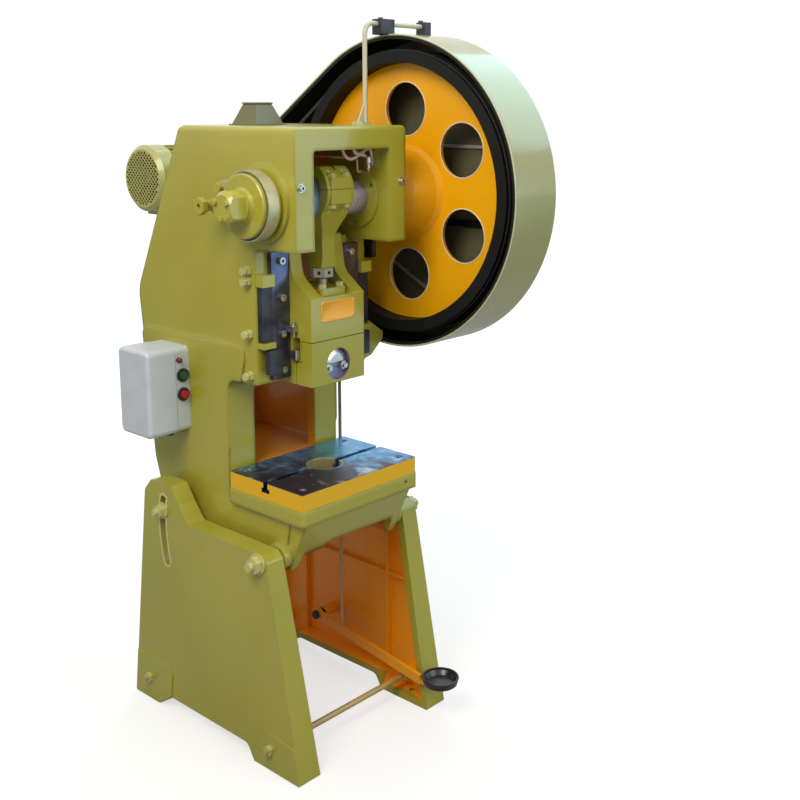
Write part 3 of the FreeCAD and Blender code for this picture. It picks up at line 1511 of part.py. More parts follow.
def pedal_pad():
    """Dished rubber foot pad with a raised rim."""
    x = pad_x
    y = pad_y
    radius = pad_diameter / 2
    low = pad_top - 26
    cup = turned_z([(low, radius - 12), (low + 5, radius - 5), (pad_top - 3, radius),
                    (pad_top, radius - 1)], x, y)
    dish = turned_z([(low + 8, radius - 16), (pad_top - 6, radius - 6), (pad_top + 1, radius - 5)],
                    x, y)
    return cup.cut(dish)


def pull_rod():
    """Rod from the treadle's pin to the clutch lever; its hook is open to the rear."""
    low = pull_pin_z - pull_reach
    rod = bent_bar([V(pull_rod_x, pull_rod_y, clutch_pivot[1]),
                    V(pull_rod_x, pull_rod_y, low),
                    V(pull_rod_x, pull_pin_y + 15, low)], 9, pull_rod_diameter)
    collar = rod_z(26, guide_lug_top + spring_length, guide_lug_top + spring_length + 8,
                   pull_rod_x, pull_rod_y)
    collar = collar.cut(block(0, half_width + 0.5, 0, 300, 0, 2000))
    eye = rod_x(22, pull_rod_x - 5, pull_rod_x + 5, pull_rod_y, clutch_pivot[1])
    pin = rod_x(8, pull_rod_x, pull_rod_x + 24, pull_rod_y, clutch_pivot[1])
    return rod.fuse([collar, eye, pin])


def clutch_lever():
    """Bent lever that holds the rolling key's tail until the pull rod draws it down."""
    y, z = clutch_pivot
    x0 = pull_rod_x + hook_reach
    x1 = x0 + clutch_lever_thickness
    lever = side_profile(
        [(y + 15, z - 12, 10), (y + 15, z + 12, 10), (44, z + 12, 10),
         (40, crank_height - 64, 2), (24, crank_height - 60, 2), (20, z - 12, 12)], x0, x1)
    lever = lever.cut(rod_x(14 + 2 * running_gap, 0, 400, y, z))
    return lever.cut(rod_x(9.6, 0, 400, pull_rod_y, z))


def clutch_bracket():
    """Plate on the frame's side with the lever's pin, the rod's guide and a stop block."""
    y, z = clutch_pivot
    x0 = half_width
    plate = side_profile(
        [(y - 80, z - 30, 8), (y + 30, z - 40, 12), (y + 34, z + 30, 12), (y - 80, z + 30, 8)],
        x0, x0 + 6)
    near = pull_rod_x + hook_reach
    far = near + clutch_lever_thickness
    pin = rod_x(14, x0 + 6, far + 4, y, z)
    spacer = rod_x(24, x0 + 6, near - contact_gap, y, z)
    collar = rod_x(24, far + contact_gap, far + 6, y, z)
    return plate.fuse([pin, spacer, collar])


def clutch_guides():
    """Guide lug of the pull rod and the stop block under the clutch lever."""
    lug = plan_profile(
        [(half_width, pull_rod_y - 16, 2), (pull_rod_x + 14, pull_rod_y - 16, 10),
         (pull_rod_x + 14, pull_rod_y + 16, 10), (half_width, pull_rod_y + 16, 2)],
        guide_lug_top - 16, guide_lug_top)
    lug = lug.cut(rod_z(pull_rod_diameter + 2 * running_gap, 0, 2000, pull_rod_x, pull_rod_y))
    stop = block(half_width, half_width + 32, 52, 96, clutch_pivot[1] - 72, clutch_pivot[1] - 38)
    return [lug, stop]


def biarc_edges(start, start_way, end, end_way):
    """Two tangent arcs from start to end that leave and arrive along the given ways."""
    chord = end.sub(start)
    ways = start_way.add(end_way)
    along = chord.dot(ways)
    spread = ways.dot(ways) - 4
    reach = (along - math.sqrt(along * along - spread * chord.dot(chord))) / spread
    first_knee = start.add(V(start_way).multiply(reach))
    last_knee = end.sub(V(end_way).multiply(reach))
    middle = first_knee.add(last_knee).multiply(0.5)
    edges = []
    for here, knee, there in ((start, first_knee, middle), (middle, last_knee, end)):
        back = here.sub(knee).normalize()
        ahead = there.sub(knee).normalize()
        half = back.getAngle(ahead) / 2
        radius = here.sub(knee).Length * math.tan(half)
        centre = knee.add(back.add(ahead).normalize().multiply(radius / math.sin(half)))
        nearest = knee.sub(centre).normalize().multiply(radius).add(centre)
        edges.append(Part.Arc(here, nearest, there).toShape())
    return edges


def return_spring():
    """Compression spring on the pull rod, between the guide lug and the rod's collar."""
    low = guide_lug_top + spring_wire / 2 + contact_gap
    rise = spring_length - spring_wire - 2 * contact_gap
    radius = spring_coil / 2 - spring_wire / 2

    def place(turn):
        angle = 2 * math.pi * turn
        return V(pull_rod_x + radius * math.cos(angle), pull_rod_y + radius * math.sin(angle),
                 low + rise * turn / spring_turns)

    def way(turn):
        angle = 2 * math.pi * turn
        around = 2 * math.pi * radius
        return V(-around * math.sin(angle), around * math.cos(angle), rise / spring_turns).normalize()

    edges = []
    for quarter in range(4 * spring_turns):
        here = quarter / 4
        there = (quarter + 1) / 4
        edges.extend(biarc_edges(place(here), way(here), place(there), way(there)))
    section = Part.Wire(Part.makeCircle(spring_wire / 2, place(0), way(0)))
    spring = Part.Wire(edges).makePipeShell([section], True, False)
    samples = [place(index / 16) for index in range(16 * spring_turns + 1)]
    gap = min(a.distanceToPoint(b) for number, a in enumerate(samples)
              for b in samples[number + 8:]) - spring_wire
    print("return spring: least gap between turns", round(gap, 2), "mm")
    return spring


# ---------------------------------------------------------------- control box
button_x = (box_seam - lower_half) / 2
lamp_height = box_bottom + 216
start_height = box_bottom + 170
stop_height = box_bottom + 113


def control_box_base():
    """Back half of the switch box, bored for its buttons, with a cable gland below."""
    base = side_profile(
        rectangle(box_front, box_front + box_depth, box_bottom, box_bottom + box_height, 16),
        box_seam, -lower_half)
    for z in (start_height, stop_height):
        base = base.cut(rod_y(button_diameter, box_front - 1, box_front + 22, button_x, z))
    return base


def control_box_cover():
    """Moulded cover with rounded edges."""
    cover = side_profile(
        rectangle(box_front - 2, box_front + box_depth + 2, box_bottom - 2,
                  box_bottom + box_height + 2, 18), box_left, box_seam)
    edges = [edge for edge in cover.Edges
             if all(abs(vertex.X - box_left) < 0.01 for vertex in edge.Vertexes)]
    return cover.makeFillet(12, edges)


def button_bezels():
    bezels = []
    for z in (start_height, stop_height):
        ring = rod_y(40, box_front - 5, box_front, button_x, z)
        bezels.append(ring.cut(rod_y(button_diameter + 2 * contact_gap, box_front - 6,
                                     box_front + 1, button_x, z)))
    return bezels


def push_button(z, proud):
    """Button head and stem, with room behind the stem for its travel."""
    stem = rod_y(button_diameter - 2 * contact_gap, box_front - 5,
                 box_front + 22 - button_travel - 1, button_x, z)
    head = rod_y(button_diameter - 2 * contact_gap, box_front - 5 - proud, box_front - 5,
                 button_x, z)
    return stem.fuse(head).removeSplitter()


def indicator_lamp():
    x = button_x - 12
    collar = rod_y(16, box_front - 6, box_front, x, lamp_height)
    dome = Part.makeSphere(8, V(x, box_front - 6, lamp_height))
    proud = block(x - 9, x + 9, box_front - 20, box_front - 3, lamp_height - 9, lamp_height + 9)
    return collar.fuse(dome.common(proud))


def cable_gland():
    z = box_bottom
    return turned_z([(z - 26, 9), (z - 22, 12), (z - 12, 12), (z - 12, 15), (z, 15)],
                    button_x, box_front + box_depth / 2)


# ---------------------------------------------------------------- the assembly
def build():
    leg = right_leg()
    write("left_leg", mirrored(leg))
    write("right_leg", treadle_leg(leg))
    write("tie_rods", tie_rod_piece(tie_front), tie_rod_piece(tie_rear))
    write("tie_rod_nuts", *tie_rod_nuts())
    write("pivot_bolts", *pivot_bolts())
    write("treadle_pin", treadle_pin())

    write("frame_casting", frame_casting())
    write("bolster_plate", bolster_plate())
    write("socket_screws", *bolster_screws(), *gib_screws())
    write("lock_bolts", *lock_bolts())
    right_bush = bearing_bush()
    write("bearing_bushes", right_bush, mirrored(right_bush))
    write("guide_bars", *guide_bars())
    write("gib_backing", *gib_backing())
    write("gib_keepers", *gib_keepers())
    write("hexagon_bolts", *gib_adjusters(), *motor_feet_bolts())
    write("knockout_stops", *knockout_stops())
    write("brake_band", brake_band())
    write("brake_lining", brake_lining())
    write("brake_anchors", *brake_anchors())
    write("motor_bracket", motor_bracket())
    write("motor_housing", motor_housing())
    write("fan_cover", fan_cover())
    write("terminal_box", terminal_box())
    write("belt_guard", belt_guard())
    write("guard_stays", guard_stay())
    write("guard_clamps", *guard_clamps(), lower_bracket())
    write("drive_belts", *drive_belts())
    write("oil_box", oil_box())
    write("oil_pipes", *oil_pipes())
    write("oil_cups", *oil_cups())
    write("clutch_bracket", clutch_bracket(), *clutch_guides())
    write("return_spring", return_spring())
    write("control_box_base", control_box_base())
    write("control_box_cover", control_box_cover())
    write("box_fittings", *button_bezels(), cable_gland())
    write("indicator_lamp", indicator_lamp())

    write("crankshaft", crankshaft())
    write("crank_collars", clutch_ring(), crank_end_plate())
    write("brake_drum", brake_drum().fuse([brake_hub()] + brake_hub_screws()))
    write("connecting_rod", connecting_rod())
    write("rod_cap", rod_cap())
    write("rod_cap_bolts", *rod_cap_bolts())
    write("rod_bearing", rod_bearing())
    write("ball_screw", ball_screw())
    write("slide_casting", slide_casting())
    write("shank_clamp", shank_clamp())
    write("slide_fasteners", *clamp_hardware(), *ball_cap_bolts())
    write("ball_cap", ball_cap())
    write("knockout_bar", knockout_bar())
    write("flywheel", flywheel())
    write("flywheel_bush", flywheel_bush())
    write("motor_shaft", motor_shaft_piece())
    write("motor_pulley", motor_pulley())
    write("motor_fan", motor_fan())
    write("treadle_lever", treadle_lever())
    write("pedal_pad", pedal_pad())
    write("pull_rod", pull_rod())
    write("clutch_lever", clutch_lever())
    write("start_button", push_button(start_height, 6))
    write("stop_button", push_button(stop_height, 9))


os.makedirs("parts", exist_ok=True)
build()
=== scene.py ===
import math

import bmesh
import bpy
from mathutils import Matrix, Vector
from mathutils.bvhtree import BVHTree


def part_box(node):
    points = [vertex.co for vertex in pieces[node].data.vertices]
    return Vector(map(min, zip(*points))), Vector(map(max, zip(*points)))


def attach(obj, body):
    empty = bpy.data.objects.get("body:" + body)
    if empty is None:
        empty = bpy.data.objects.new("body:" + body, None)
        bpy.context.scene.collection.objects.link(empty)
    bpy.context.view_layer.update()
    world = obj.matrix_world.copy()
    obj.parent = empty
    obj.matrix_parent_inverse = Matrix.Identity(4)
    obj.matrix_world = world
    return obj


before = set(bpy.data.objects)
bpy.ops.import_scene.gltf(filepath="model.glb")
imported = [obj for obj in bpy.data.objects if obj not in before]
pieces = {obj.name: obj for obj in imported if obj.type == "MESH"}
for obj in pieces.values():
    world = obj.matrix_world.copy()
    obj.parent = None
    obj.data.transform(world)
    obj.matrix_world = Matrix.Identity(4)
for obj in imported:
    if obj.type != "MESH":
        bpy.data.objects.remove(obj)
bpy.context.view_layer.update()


# ---------------------------------------------------------------- the camera
# Eye height, a little to the left of the operator's place, so that the left side and the
# front both show. The lens is a short portrait lens; a small shift keeps the uprights
# nearly parallel.
viewpoint = Vector((-2.091, -2.4035, 1.820))
heading = math.radians(47.53)
downward = math.radians(11.13)
lens = bpy.data.cameras.new("eye")
lens.lens = 49.37
lens.sensor_width = 36.0
lens.shift_y = -0.10
eye = bpy.data.objects.new("eye", lens)
bpy.context.scene.collection.objects.link(eye)
eye.location = viewpoint
eye.rotation_euler = (math.pi / 2 - downward, 0.0, -heading)
bpy.context.scene.camera = eye
bpy.context.scene.view_settings.view_transform = "Standard"


# ---------------------------------------------------------------- the floor and the light
# A plain white studio: a pale floor that keeps the press's shadow, a large soft warm lamp from
# the left, and cool ones in front, overhead and behind. Two pale cards show only as
# reflections in the gloss of the enamel.

def feed(tree, given, socket):
    """A socket takes what another one gives, or a plain value or colour."""
    if isinstance(given, bpy.types.NodeSocket):
        tree.links.new(given, socket)
    elif given is not None:
        socket.default_value = (*given, 1.0) if socket.type == "RGBA" else given


def maths(tree, operation, first, second=None):
    """One step of arithmetic."""
    step = tree.nodes.new("ShaderNodeMath")
    step.operation = operation
    feed(tree, first, step.inputs[0])
    feed(tree, second, step.inputs[1])
    return step.outputs[0]


def spread(tree, value, low, high, to_low=0.0, to_high=1.0):
    """Stretches low to high over to_low to to_high, and holds it there beyond them."""
    reach = tree.nodes.new("ShaderNodeMapRange")
    for socket, given in (("Value", value), ("From Min", low), ("From Max", high),
                          ("To Min", to_low), ("To Max", to_high)):
        feed(tree, given, reach.inputs[socket])
    return reach.outputs["Result"]


def object_place(tree):
    return tree.nodes.new("ShaderNodeTexCoord").outputs["Object"]


def looked_at(tree, gloss_share):
    """One where the eye or clear plastic looks straight at it; gloss sees only its share."""
    rays = tree.nodes.new("ShaderNodeLightPath").outputs
    in_gloss = maths(tree, "MULTIPLY", rays["Is Glossy Ray"], gloss_share)
    return maths(tree, "MAXIMUM", maths(tree, "MAXIMUM", rays["Is Camera Ray"], in_gloss),
                 rays["Is Transmission Ray"])


floor_size = 60.0
floor_height = -0.0005
floor_grey = (0.40, 0.40, 0.40)
floor_in_gloss = 0.12
glow_start = 0.8
glow_end = 5.0
near_glow = 0.66
far_glow = 0.93
white = (1.0, 1.0, 1.0)
bpy.ops.object.select_all(action="DESELECT")
bpy.ops.mesh.primitive_plane_add(size=floor_size, location=(0.0, 0.0, floor_height))
floor = bpy.context.object
floor.name = "studio_floor"
floor_paint = bpy.data.materials.new("studio_floor")
floor_paint.use_nodes = True
floor_tree = floor_paint.node_tree
floor_tree.nodes.clear()
floor_white = floor_tree.nodes.new("ShaderNodeBsdfDiffuse")
feed(floor_tree, floor_grey, floor_white.inputs["Color"])
from_press = floor_tree.nodes.new("ShaderNodeVectorMath")
from_press.operation = "LENGTH"
feed(floor_tree, object_place(floor_tree), from_press.inputs[0])
glow = spread(floor_tree, from_press.outputs["Value"], glow_start, glow_end, near_glow, far_glow)
glow.node.interpolation_type = "SMOOTHSTEP"
floor_glow = floor_tree.nodes.new("ShaderNodeEmission")
feed(floor_tree, white, floor_glow.inputs["Color"])
feed(floor_tree, glow, floor_glow.inputs["Strength"])
floor_both = floor_tree.nodes.new("ShaderNodeAddShader")
feed(floor_tree, floor_white.outputs[0], floor_both.inputs[0])
feed(floor_tree, floor_glow.outputs[0], floor_both.inputs[1])
floor_seen = floor_tree.nodes.new("ShaderNodeMixShader")
floor_out = floor_tree.nodes.new("ShaderNodeOutputMaterial")
feed(floor_tree, looked_at(floor_tree, floor_in_gloss), floor_seen.inputs[0])
feed(floor_tree, floor_white.outputs[0], floor_seen.inputs[1])
feed(floor_tree, floor_both.outputs[0], floor_seen.inputs[2])
feed(floor_tree, floor_seen.outputs[0], floor_out.inputs["Surface"])
floor.data.materials.append(floor_paint)

studio = bpy.data.worlds.new("studio")
bpy.context.scene.world = studio
studio.use_nodes = True
studio_tree = studio.node_tree
studio_tree.nodes.clear()
studio_seen = studio_tree.nodes.new("ShaderNodeMixShader")
feed(studio_tree, looked_at(studio_tree, 1.0), studio_seen.inputs[0])
for socket, (colour, strength) in enumerate((((0.92, 0.97, 1.0), 0.38), (white, 1.0)), 1):
    backdrop = studio_tree.nodes.new("ShaderNodeBackground")
    feed(studio_tree, colour, backdrop.inputs["Color"])
    feed(studio_tree, strength, backdrop.inputs["Strength"])
    feed(studio_tree, backdrop.outputs[0], studio_seen.inputs[socket])
studio_out = studio_tree.nodes.new("ShaderNodeOutputWorld")
feed(studio_tree, studio_seen.outputs[0], studio_out.inputs["Surface"])


def hang_lamp(name, place, target, width, height, watts, colour):
    lamp = bpy.data.lights.new(name, "AREA")
    lamp.shape = "RECTANGLE"
    lamp.size = width
    lamp.size_y = height
    lamp.energy = watts
    lamp.color = colour
    holder = bpy.data.objects.new(name, lamp)
    bpy.context.scene.collection.objects.link(holder)
    holder.location = place
    aim = Vector(target) - Vector(place)
    holder.rotation_euler = aim.to_track_quat("-Z", "Y").to_euler()
    return holder


card_light = (0.44, 0.86, 1.0)
hang_lamp("left_lamp", (-2.4, -1.0, 3.4), (0.0, 0.0, 1.5), 1.6, 1.6, 76.0, (1.0, 0.93, 0.72))
hang_lamp("front_lamp", (0.9, -3.8, 2.6), (0.0, 0.0, 1.1), 2.4, 2.0, 48.0, (0.92, 0.97, 0.96))
hang_lamp("top_lamp", (0.4, 0.8, 4.4), (0.0, 0.0, 1.2), 2.2, 2.2, 38.0, (0.85, 0.97, 1.0))
back_lamp = hang_lamp("back_lamp", (3.0, 2.3, 2.9), (0.2, 0.0, 1.3), 2.0, 2.0, 48.0,
                      (0.90, 0.97, 1.0))
back_lamp.visible_glossy = False
front_card = hang_lamp("front_card", (2.6, -3.2, 1.15), (0.0, -0.3, 1.4), 1.3, 1.5, 14.0, card_light)
side_card = hang_lamp("side_card", (2.6, -0.8, 3.6), (0.3, -0.4, 1.7), 3.0, 2.4, 52.0, card_light)
for card in (front_card, side_card):
    card.visible_camera = False
    card.visible_diffuse = False


# ---------------------------------------------------------------- the legs of the stand
# Two iron castings with a flat outer plate, a rim turned inwards and ribs. They are filled,
# rubbed down and sprayed with thick olive-green machinery enamel, and brushed orange inside.

def noise(tree, place, scale, detail=2.0, roughness=0.5, distortion=0.0):
    """A cloudy pattern; scale is its grains to the metre, or nearly."""
    cloud = tree.nodes.new("ShaderNodeTexNoise")
    for socket, given in (("Vector", place), ("Scale", scale), ("Detail", detail),
                          ("Roughness", roughness), ("Distortion", distortion)):
        feed(tree, given, cloud.inputs[socket])
    return cloud.outputs["Fac"]


def mix(tree, factor, first, second):
    """The first colour turns to the second as the factor goes from nought to one."""
    blend = tree.nodes.new("ShaderNodeMix")
    blend.data_type = "RGBA"
    for socket, given in (("Factor", factor), ("A", first), ("B", second)):
        feed(tree, given, blend.inputs[socket])
    return blend.outputs["Result"]


def bump(tree, height, normal, strength, distance):
    """Low relief."""
    relief = tree.nodes.new("ShaderNodeBump")
    for socket, given in (("Height", height), ("Normal", normal), ("Strength", strength),
                          ("Distance", distance)):
        feed(tree, given, relief.inputs[socket])
    return relief.outputs["Normal"]


def rounded_edges(tree, radius):
    """An edge is never sharp: the normals turn smoothly round it."""
    edge = tree.nodes.new("ShaderNodeBevel")
    edge.samples = 4
    edge.inputs["Radius"].default_value = radius
    return edge.outputs["Normal"]


def skin_group(name, sockets):
    """A group with named inputs that puts out a colour, a roughness and a normal."""
    group = bpy.data.node_groups.new(name, "ShaderNodeTree")
    for socket, kind in sockets:
        group.interface.new_socket(socket, in_out="INPUT", socket_type="NodeSocket" + kind)
    for socket, kind in (("Colour", "Color"), ("Roughness", "Float"), ("Normal", "Vector")):
        group.interface.new_socket(socket, in_out="OUTPUT", socket_type="NodeSocket" + kind)
    given = group.nodes.new("NodeGroupInput").outputs
    made = group.nodes.new("NodeGroupOutput").inputs
    return group, given, made, object_place(group)


def film_of_paint():
    """Thick hand-sprayed enamel: drifting colour, slow ripples and fine orange peel."""
    film, given, made, place = skin_group("film_of_paint", (
        ("Colour", "Color"), ("Thin Colour", "Color"), ("Grime", "Color"), ("Gloss", "Float"),
        ("Normal", "Vector")))
    drift = spread(film, noise(film, place, 2.6, detail=3.0), 0.35, 0.68)
    tone = mix(film, drift, given["Colour"], given["Thin Colour"])
    specks = noise(film, place, 34.0, detail=6.0, roughness=0.7)
    stains = spread(film, specks, 0.60, 0.82, 0.0, 0.35)
    feed(film, mix(film, stains, tone, given["Grime"]), made["Colour"])
    sheen = spread(film, specks, 0.0, 1.0, -0.07, 0.09)
    feed(film, maths(film, "ADD", given["Gloss"], sheen), made["Roughness"])
    ripples = bump(film, noise(film, place, 9.0, detail=1.0), given["Normal"], 0.35, 0.004)
    feed(film, bump(film, noise(film, place, 330.0), ripples, 0.12, 0.0004), made["Normal"])
    return film


paint_film = film_of_paint()


def new_finish(name):
    """A new material, its tree and the sockets of its shader."""
    finish = bpy.data.materials.new(name)
    finish.use_nodes = True
    return finish, finish.node_tree, finish.node_tree.nodes["Principled BSDF"].inputs


def skinned(name, group, edge_radius, values):
    """A finish whose colour, roughness and normal come from a group."""
    finish, tree, shader = new_finish(name)
    skin = tree.nodes.new("ShaderNodeGroup")
    skin.name = "skin"
    skin.node_tree = group
    feed(tree, rounded_edges(tree, edge_radius), skin.inputs["Normal"])
    for socket, value in values:
        feed(tree, value, skin.inputs[socket])
    for made, socket in (("Colour", "Base Color"), ("Roughness", "Roughness"), ("Normal", "Normal")):
        feed(tree, skin.outputs[made], shader[socket])
    return finish, shader


def painted(name, colour, thin, grime, gloss, edge_radius, clear=0.5, shine=0.5, clear_ior=1.5):
    """A coat of enamel on iron or sheet steel, with its clear top layer."""
    coat, shader = skinned(name, paint_film, edge_radius, (
        ("Colour", colour), ("Thin Colour", thin), ("Grime", grime), ("Gloss", gloss)))
    shader["Coat Weight"].default_value = clear
    shader["Coat Roughness"].default_value = 0.10
    shader["Coat IOR"].default_value = clear_ior
    shader["Specular IOR Level"].default_value = shine
    return coat


def finish_hollow(name, outside, inside, walls_around, lip=None):
    """A face that looks into the hollow sees the piece's own walls all around it."""
    off_the_face = 0.0015
    shell = pieces[name].data
    shell.materials.clear()
    for coat in (outside, inside, lip or outside):
        shell.materials.append(coat)
    walls = BVHTree.FromPolygons([vertex.co for vertex in shell.vertices],
                                 [tuple(face.vertices) for face in shell.polygons])
    for face in shell.polygons:
        point = face.center + off_the_face * face.normal
        looks_left = lip is not None and face.normal.x < -0.9
        if all(walls.ray_cast(point, Vector(way))[0] is not None for way in walls_around):
            face.material_index = 2 if looks_left else 1
        else:
            face.material_index = 1 if looks_left else 0


olive = (0.372, 0.340, 0.028)
olive_thin = (0.412, 0.382, 0.044)
olive_grime = (0.225, 0.200, 0.030)
orange_grime = (0.300, 0.090, 0.008)
green_enamel = painted("green_enamel", olive, olive_thin, olive_grime, 0.33, 0.003)
leg_inside = painted("leg_inside", (0.960, 0.350, 0.002), (0.980, 0.410, 0.004), orange_grime,
                     0.40, 0.003, clear=0.2)
round_about = ((0.0, -1.0, 0.0), (0.0, 1.0, 0.0), (0.0, 0.0, -1.0), (0.0, 0.0, 1.0))
leftward = (-1.0, 0.0, 0.0)
rightward = (1.0, 0.0, 0.0)
finish_hollow("left_leg", green_enamel, leg_inside, round_about + (leftward,))
finish_hollow("right_leg", green_enamel, leg_inside, round_about + (rightward,))


# ---------------------------------------------------------------- the stand's bars and bolts
# Two round bars with nuts hold the legs apart. The pivot bolts carry the frame, and the lock
# bolts slide in the legs' arc slots. All were brushed over with enamel; that of the bolts and
# nuts is paler, as a painted highlight.

def finish_node(name, coat):
    """Gives a solid of the press its finish."""
    slots = pieces[name].data.materials
    slots.clear()
    slots.append(coat)


# Painted highlight: the bolts' and nuts' paler enamel stands in for the light they catch.
bolt_highlight_enamel = painted("bolt_highlight_enamel", (0.480, 0.455, 0.125), (0.600, 0.580, 0.260),
                      (0.26, 0.23, 0.05), 0.26, 0.0012)
for name in ("tie_rod_nuts", "pivot_bolts", "lock_bolts"):
    finish_node(name, bolt_highlight_enamel)
finish_node("tie_rods", painted("tie_rod_enamel", (0.42, 0.30, 0.09), (0.48, 0.36, 0.12),
                                (0.22, 0.15, 0.05), 0.40, 0.001))


# ---------------------------------------------------------------- the rims of the arc slots
# Each slot is cast with a low raised rim, on which the lock bolt's washer bears. It is painted
# paler than the leg, as a painted highlight along the rim.

def start_piece():
    """Leaves edit mode and deselects everything."""
    if bpy.context.object and bpy.context.object.mode != "OBJECT":
        bpy.ops.object.mode_set(mode="OBJECT")
    bpy.ops.object.select_all(action="DESELECT")


def copy_solid(node):
    """A merged copy of a solid to cut a new piece from, left in edit mode, all selected."""
    start_piece()
    twin = pieces[node].copy()
    twin.data = pieces[node].data.copy()
    bpy.context.scene.collection.objects.link(twin)
    twin.select_set(True)
    bpy.context.view_layer.objects.active = twin
    bpy.ops.object.mode_set(mode="EDIT")
    bpy.ops.mesh.select_all(action="SELECT")
    bpy.ops.mesh.remove_doubles(threshold=0.00005)
    return twin


def pick(piece, kind, rule):
    """In edit mode: selects the faces or edges that the rule picks, and nothing else."""
    bpy.ops.mesh.select_mode(type=kind)
    bpy.ops.mesh.select_all(action="DESELECT")
    shape = bmesh.from_edit_mesh(piece.data)
    for element in (shape.faces if kind == "FACE" else shape.edges):
        element.select = rule(element)
    shape.select_flush_mode()
    bmesh.update_edit_mesh(piece.data)


def settle(piece, name, coat, body, smooth=35.0):
    """Puts the piece's place into its mesh, smooths it, and gives it coat, body and slot."""
    start_piece()
    piece.select_set(True)
    bpy.context.view_layer.objects.active = piece
    bpy.ops.object.transform_apply(location=True, rotation=True, scale=True)
    bpy.ops.object.shade_smooth_by_angle(angle=math.radians(smooth))
    piece.name = name
    piece.data.materials.clear()
    piece.data.materials.append(coat)
    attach(piece, body)
    return piece


pivot_low, pivot_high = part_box("pivot_bolts")
lock_low, lock_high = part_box("lock_bolts")
pivot_middle = (pivot_low + pivot_high) / 2
slot_radius = ((lock_low + lock_high) / 2 - pivot_middle).length
slot_reach = 0.0220
slot_low_end = -18.2
slot_high_end = 13.2
leg_face = 0.300
rim_width = 0.0075
rim_height = 0.0012
rim_edge = 0.0005
# Painted highlight: the rim's paler enamel stands in for the light it catches.
rim_highlight_enamel = painted("rim_highlight_enamel", (0.540, 0.520, 0.190), (0.620, 0.600, 0.270), olive_grime,
                     0.30, 0.001)


def near_slot(corner):
    away = corner.co - pivot_middle
    lean = math.degrees(math.atan2(away.z, away.y))
    return (abs(math.hypot(away.y, away.z) - slot_radius) < slot_reach
            and slot_low_end < lean < slot_high_end)


def raise_rim(name, node, out):
    """Insets a copy of the leg's outer face, keeps the strip round the slot and raises it."""
    rim = copy_solid(node)
    pick(rim, "FACE", lambda face: out * face.normal.x < 0.9
         or abs(out * face.calc_center_median().x - leg_face) > 0.0002)
    bpy.ops.mesh.delete(type="FACE")
    bpy.ops.mesh.select_all(action="SELECT")
    bpy.ops.mesh.inset(thickness=rim_width, depth=0.0)
    bpy.ops.mesh.delete(type="FACE")
    pick(rim, "FACE", lambda face: not all(near_slot(corner) for corner in face.verts))
    bpy.ops.mesh.delete(type="FACE")
    bpy.ops.mesh.select_all(action="SELECT")
    bpy.ops.mesh.extrude_region_move(
        TRANSFORM_OT_translate={"value": (out * rim_height, 0.0, 0.0)})
    pick(rim, "EDGE", lambda edge: edge.is_boundary)
    bpy.ops.mesh.bridge_edge_loops()
    bpy.ops.mesh.select_all(action="SELECT")
    bpy.ops.mesh.normals_make_consistent(inside=False)
    pick(rim, "EDGE", lambda edge: all(
        out * corner.co.x > leg_face + rim_height - 0.0001 for corner in edge.verts)
        and min(abs(face.normal.x) for face in edge.link_faces) < 0.5)
    bpy.ops.mesh.bevel(offset=rim_edge, segments=2, affect="EDGES")
    return settle(rim, name, rim_highlight_enamel, "stand")


raise_rim("slot_rim_left", "left_leg", -1.0)
raise_rim("slot_rim_right", "right_leg", 1.0)


# ---------------------------------------------------------------- the frame casting
# One grey-iron casting: head, hollow C back, table and base. It has the legs' olive enamel
# outside, and was brushed with orange in its hollows, a little ragged at the front.
inside_orange = (0.640, 0.235, 0.010)
inside_orange_thin = (0.700, 0.290, 0.016)
hollow_half_width = 0.1787
hollow_top = 1.735
throat_top = 1.0638
base_top = 0.7085
head_front = -0.0795
throat_step = 0.053
upper_back_wall = (-0.4775, 0.9843)
lower_back_wall = (0.1107, 0.2344)
base_back_wall = (0.3187, 0.0763)
base_front_wall = (-0.4676, 0.0034)
brush_grain = 45.0
brush_swing = 0.008


def frame_enamel():
    """Olive outside; orange in the hollow back, in the hollow base and behind the crank."""
    coat = painted("frame_enamel", olive, olive_thin, olive_grime, 0.33, 0.016)
    tree = coat.node_tree
    place = object_place(tree)
    axes = tree.nodes.new("ShaderNodeSeparateXYZ")
    feed(tree, place, axes.inputs[0])
    x, y, z = axes.outputs

    def value(operation, first, second=None):
        return maths(tree, operation, first, second)

    def wall(slope, start):
        """The y of a leaning wall at each height."""
        return value("ADD", value("MULTIPLY", z, slope), start)

    between_sides = value("LESS_THAN", value("ABSOLUTE", x), hollow_half_width)
    under_top = value("LESS_THAN", z, hollow_top)
    upright_back = value("MINIMUM", wall(*upper_back_wall), wall(*lower_back_wall))
    back = value("MINIMUM", upright_back, wall(*base_back_wall))
    before_back = value("LESS_THAN", y, back)
    in_base = value("LESS_THAN", z, base_top)
    in_throat = value("LESS_THAN", z, throat_top)
    front = value("ADD", value("MULTIPLY", in_throat, throat_step), head_front)
    ragged = value("MULTIPLY", value("SUBTRACT", noise(tree, place, brush_grain), 0.5), brush_swing)
    front = value("ADD", front, value("MAXIMUM", ragged, 0.0))
    base_front = value("MULTIPLY", in_base, wall(*base_front_wall))
    high_front = value("MULTIPLY", value("SUBTRACT", 1.0, in_base), front)
    behind_front = value("GREATER_THAN", y, value("ADD", base_front, high_front))
    inside = value("MULTIPLY", value("MULTIPLY", between_sides, under_top),
                   value("MULTIPLY", before_back, behind_front))
    for socket, outer, inner in (("Colour", olive, inside_orange),
                                 ("Thin Colour", olive_thin, inside_orange_thin),
                                 ("Grime", olive_grime, orange_grime)):
        feed(tree, mix(tree, inside, outer, inner), tree.nodes["skin"].inputs[socket])
    return coat


finish_node("frame_casting", frame_enamel())


# ---------------------------------------------------------------- bright cap screws of the head
# One bright steel cap screw on a washer, in each cheek of the head, holds the cover strip
# behind it. The screws are turned, with a sunk hexagon, and are put in after painting.

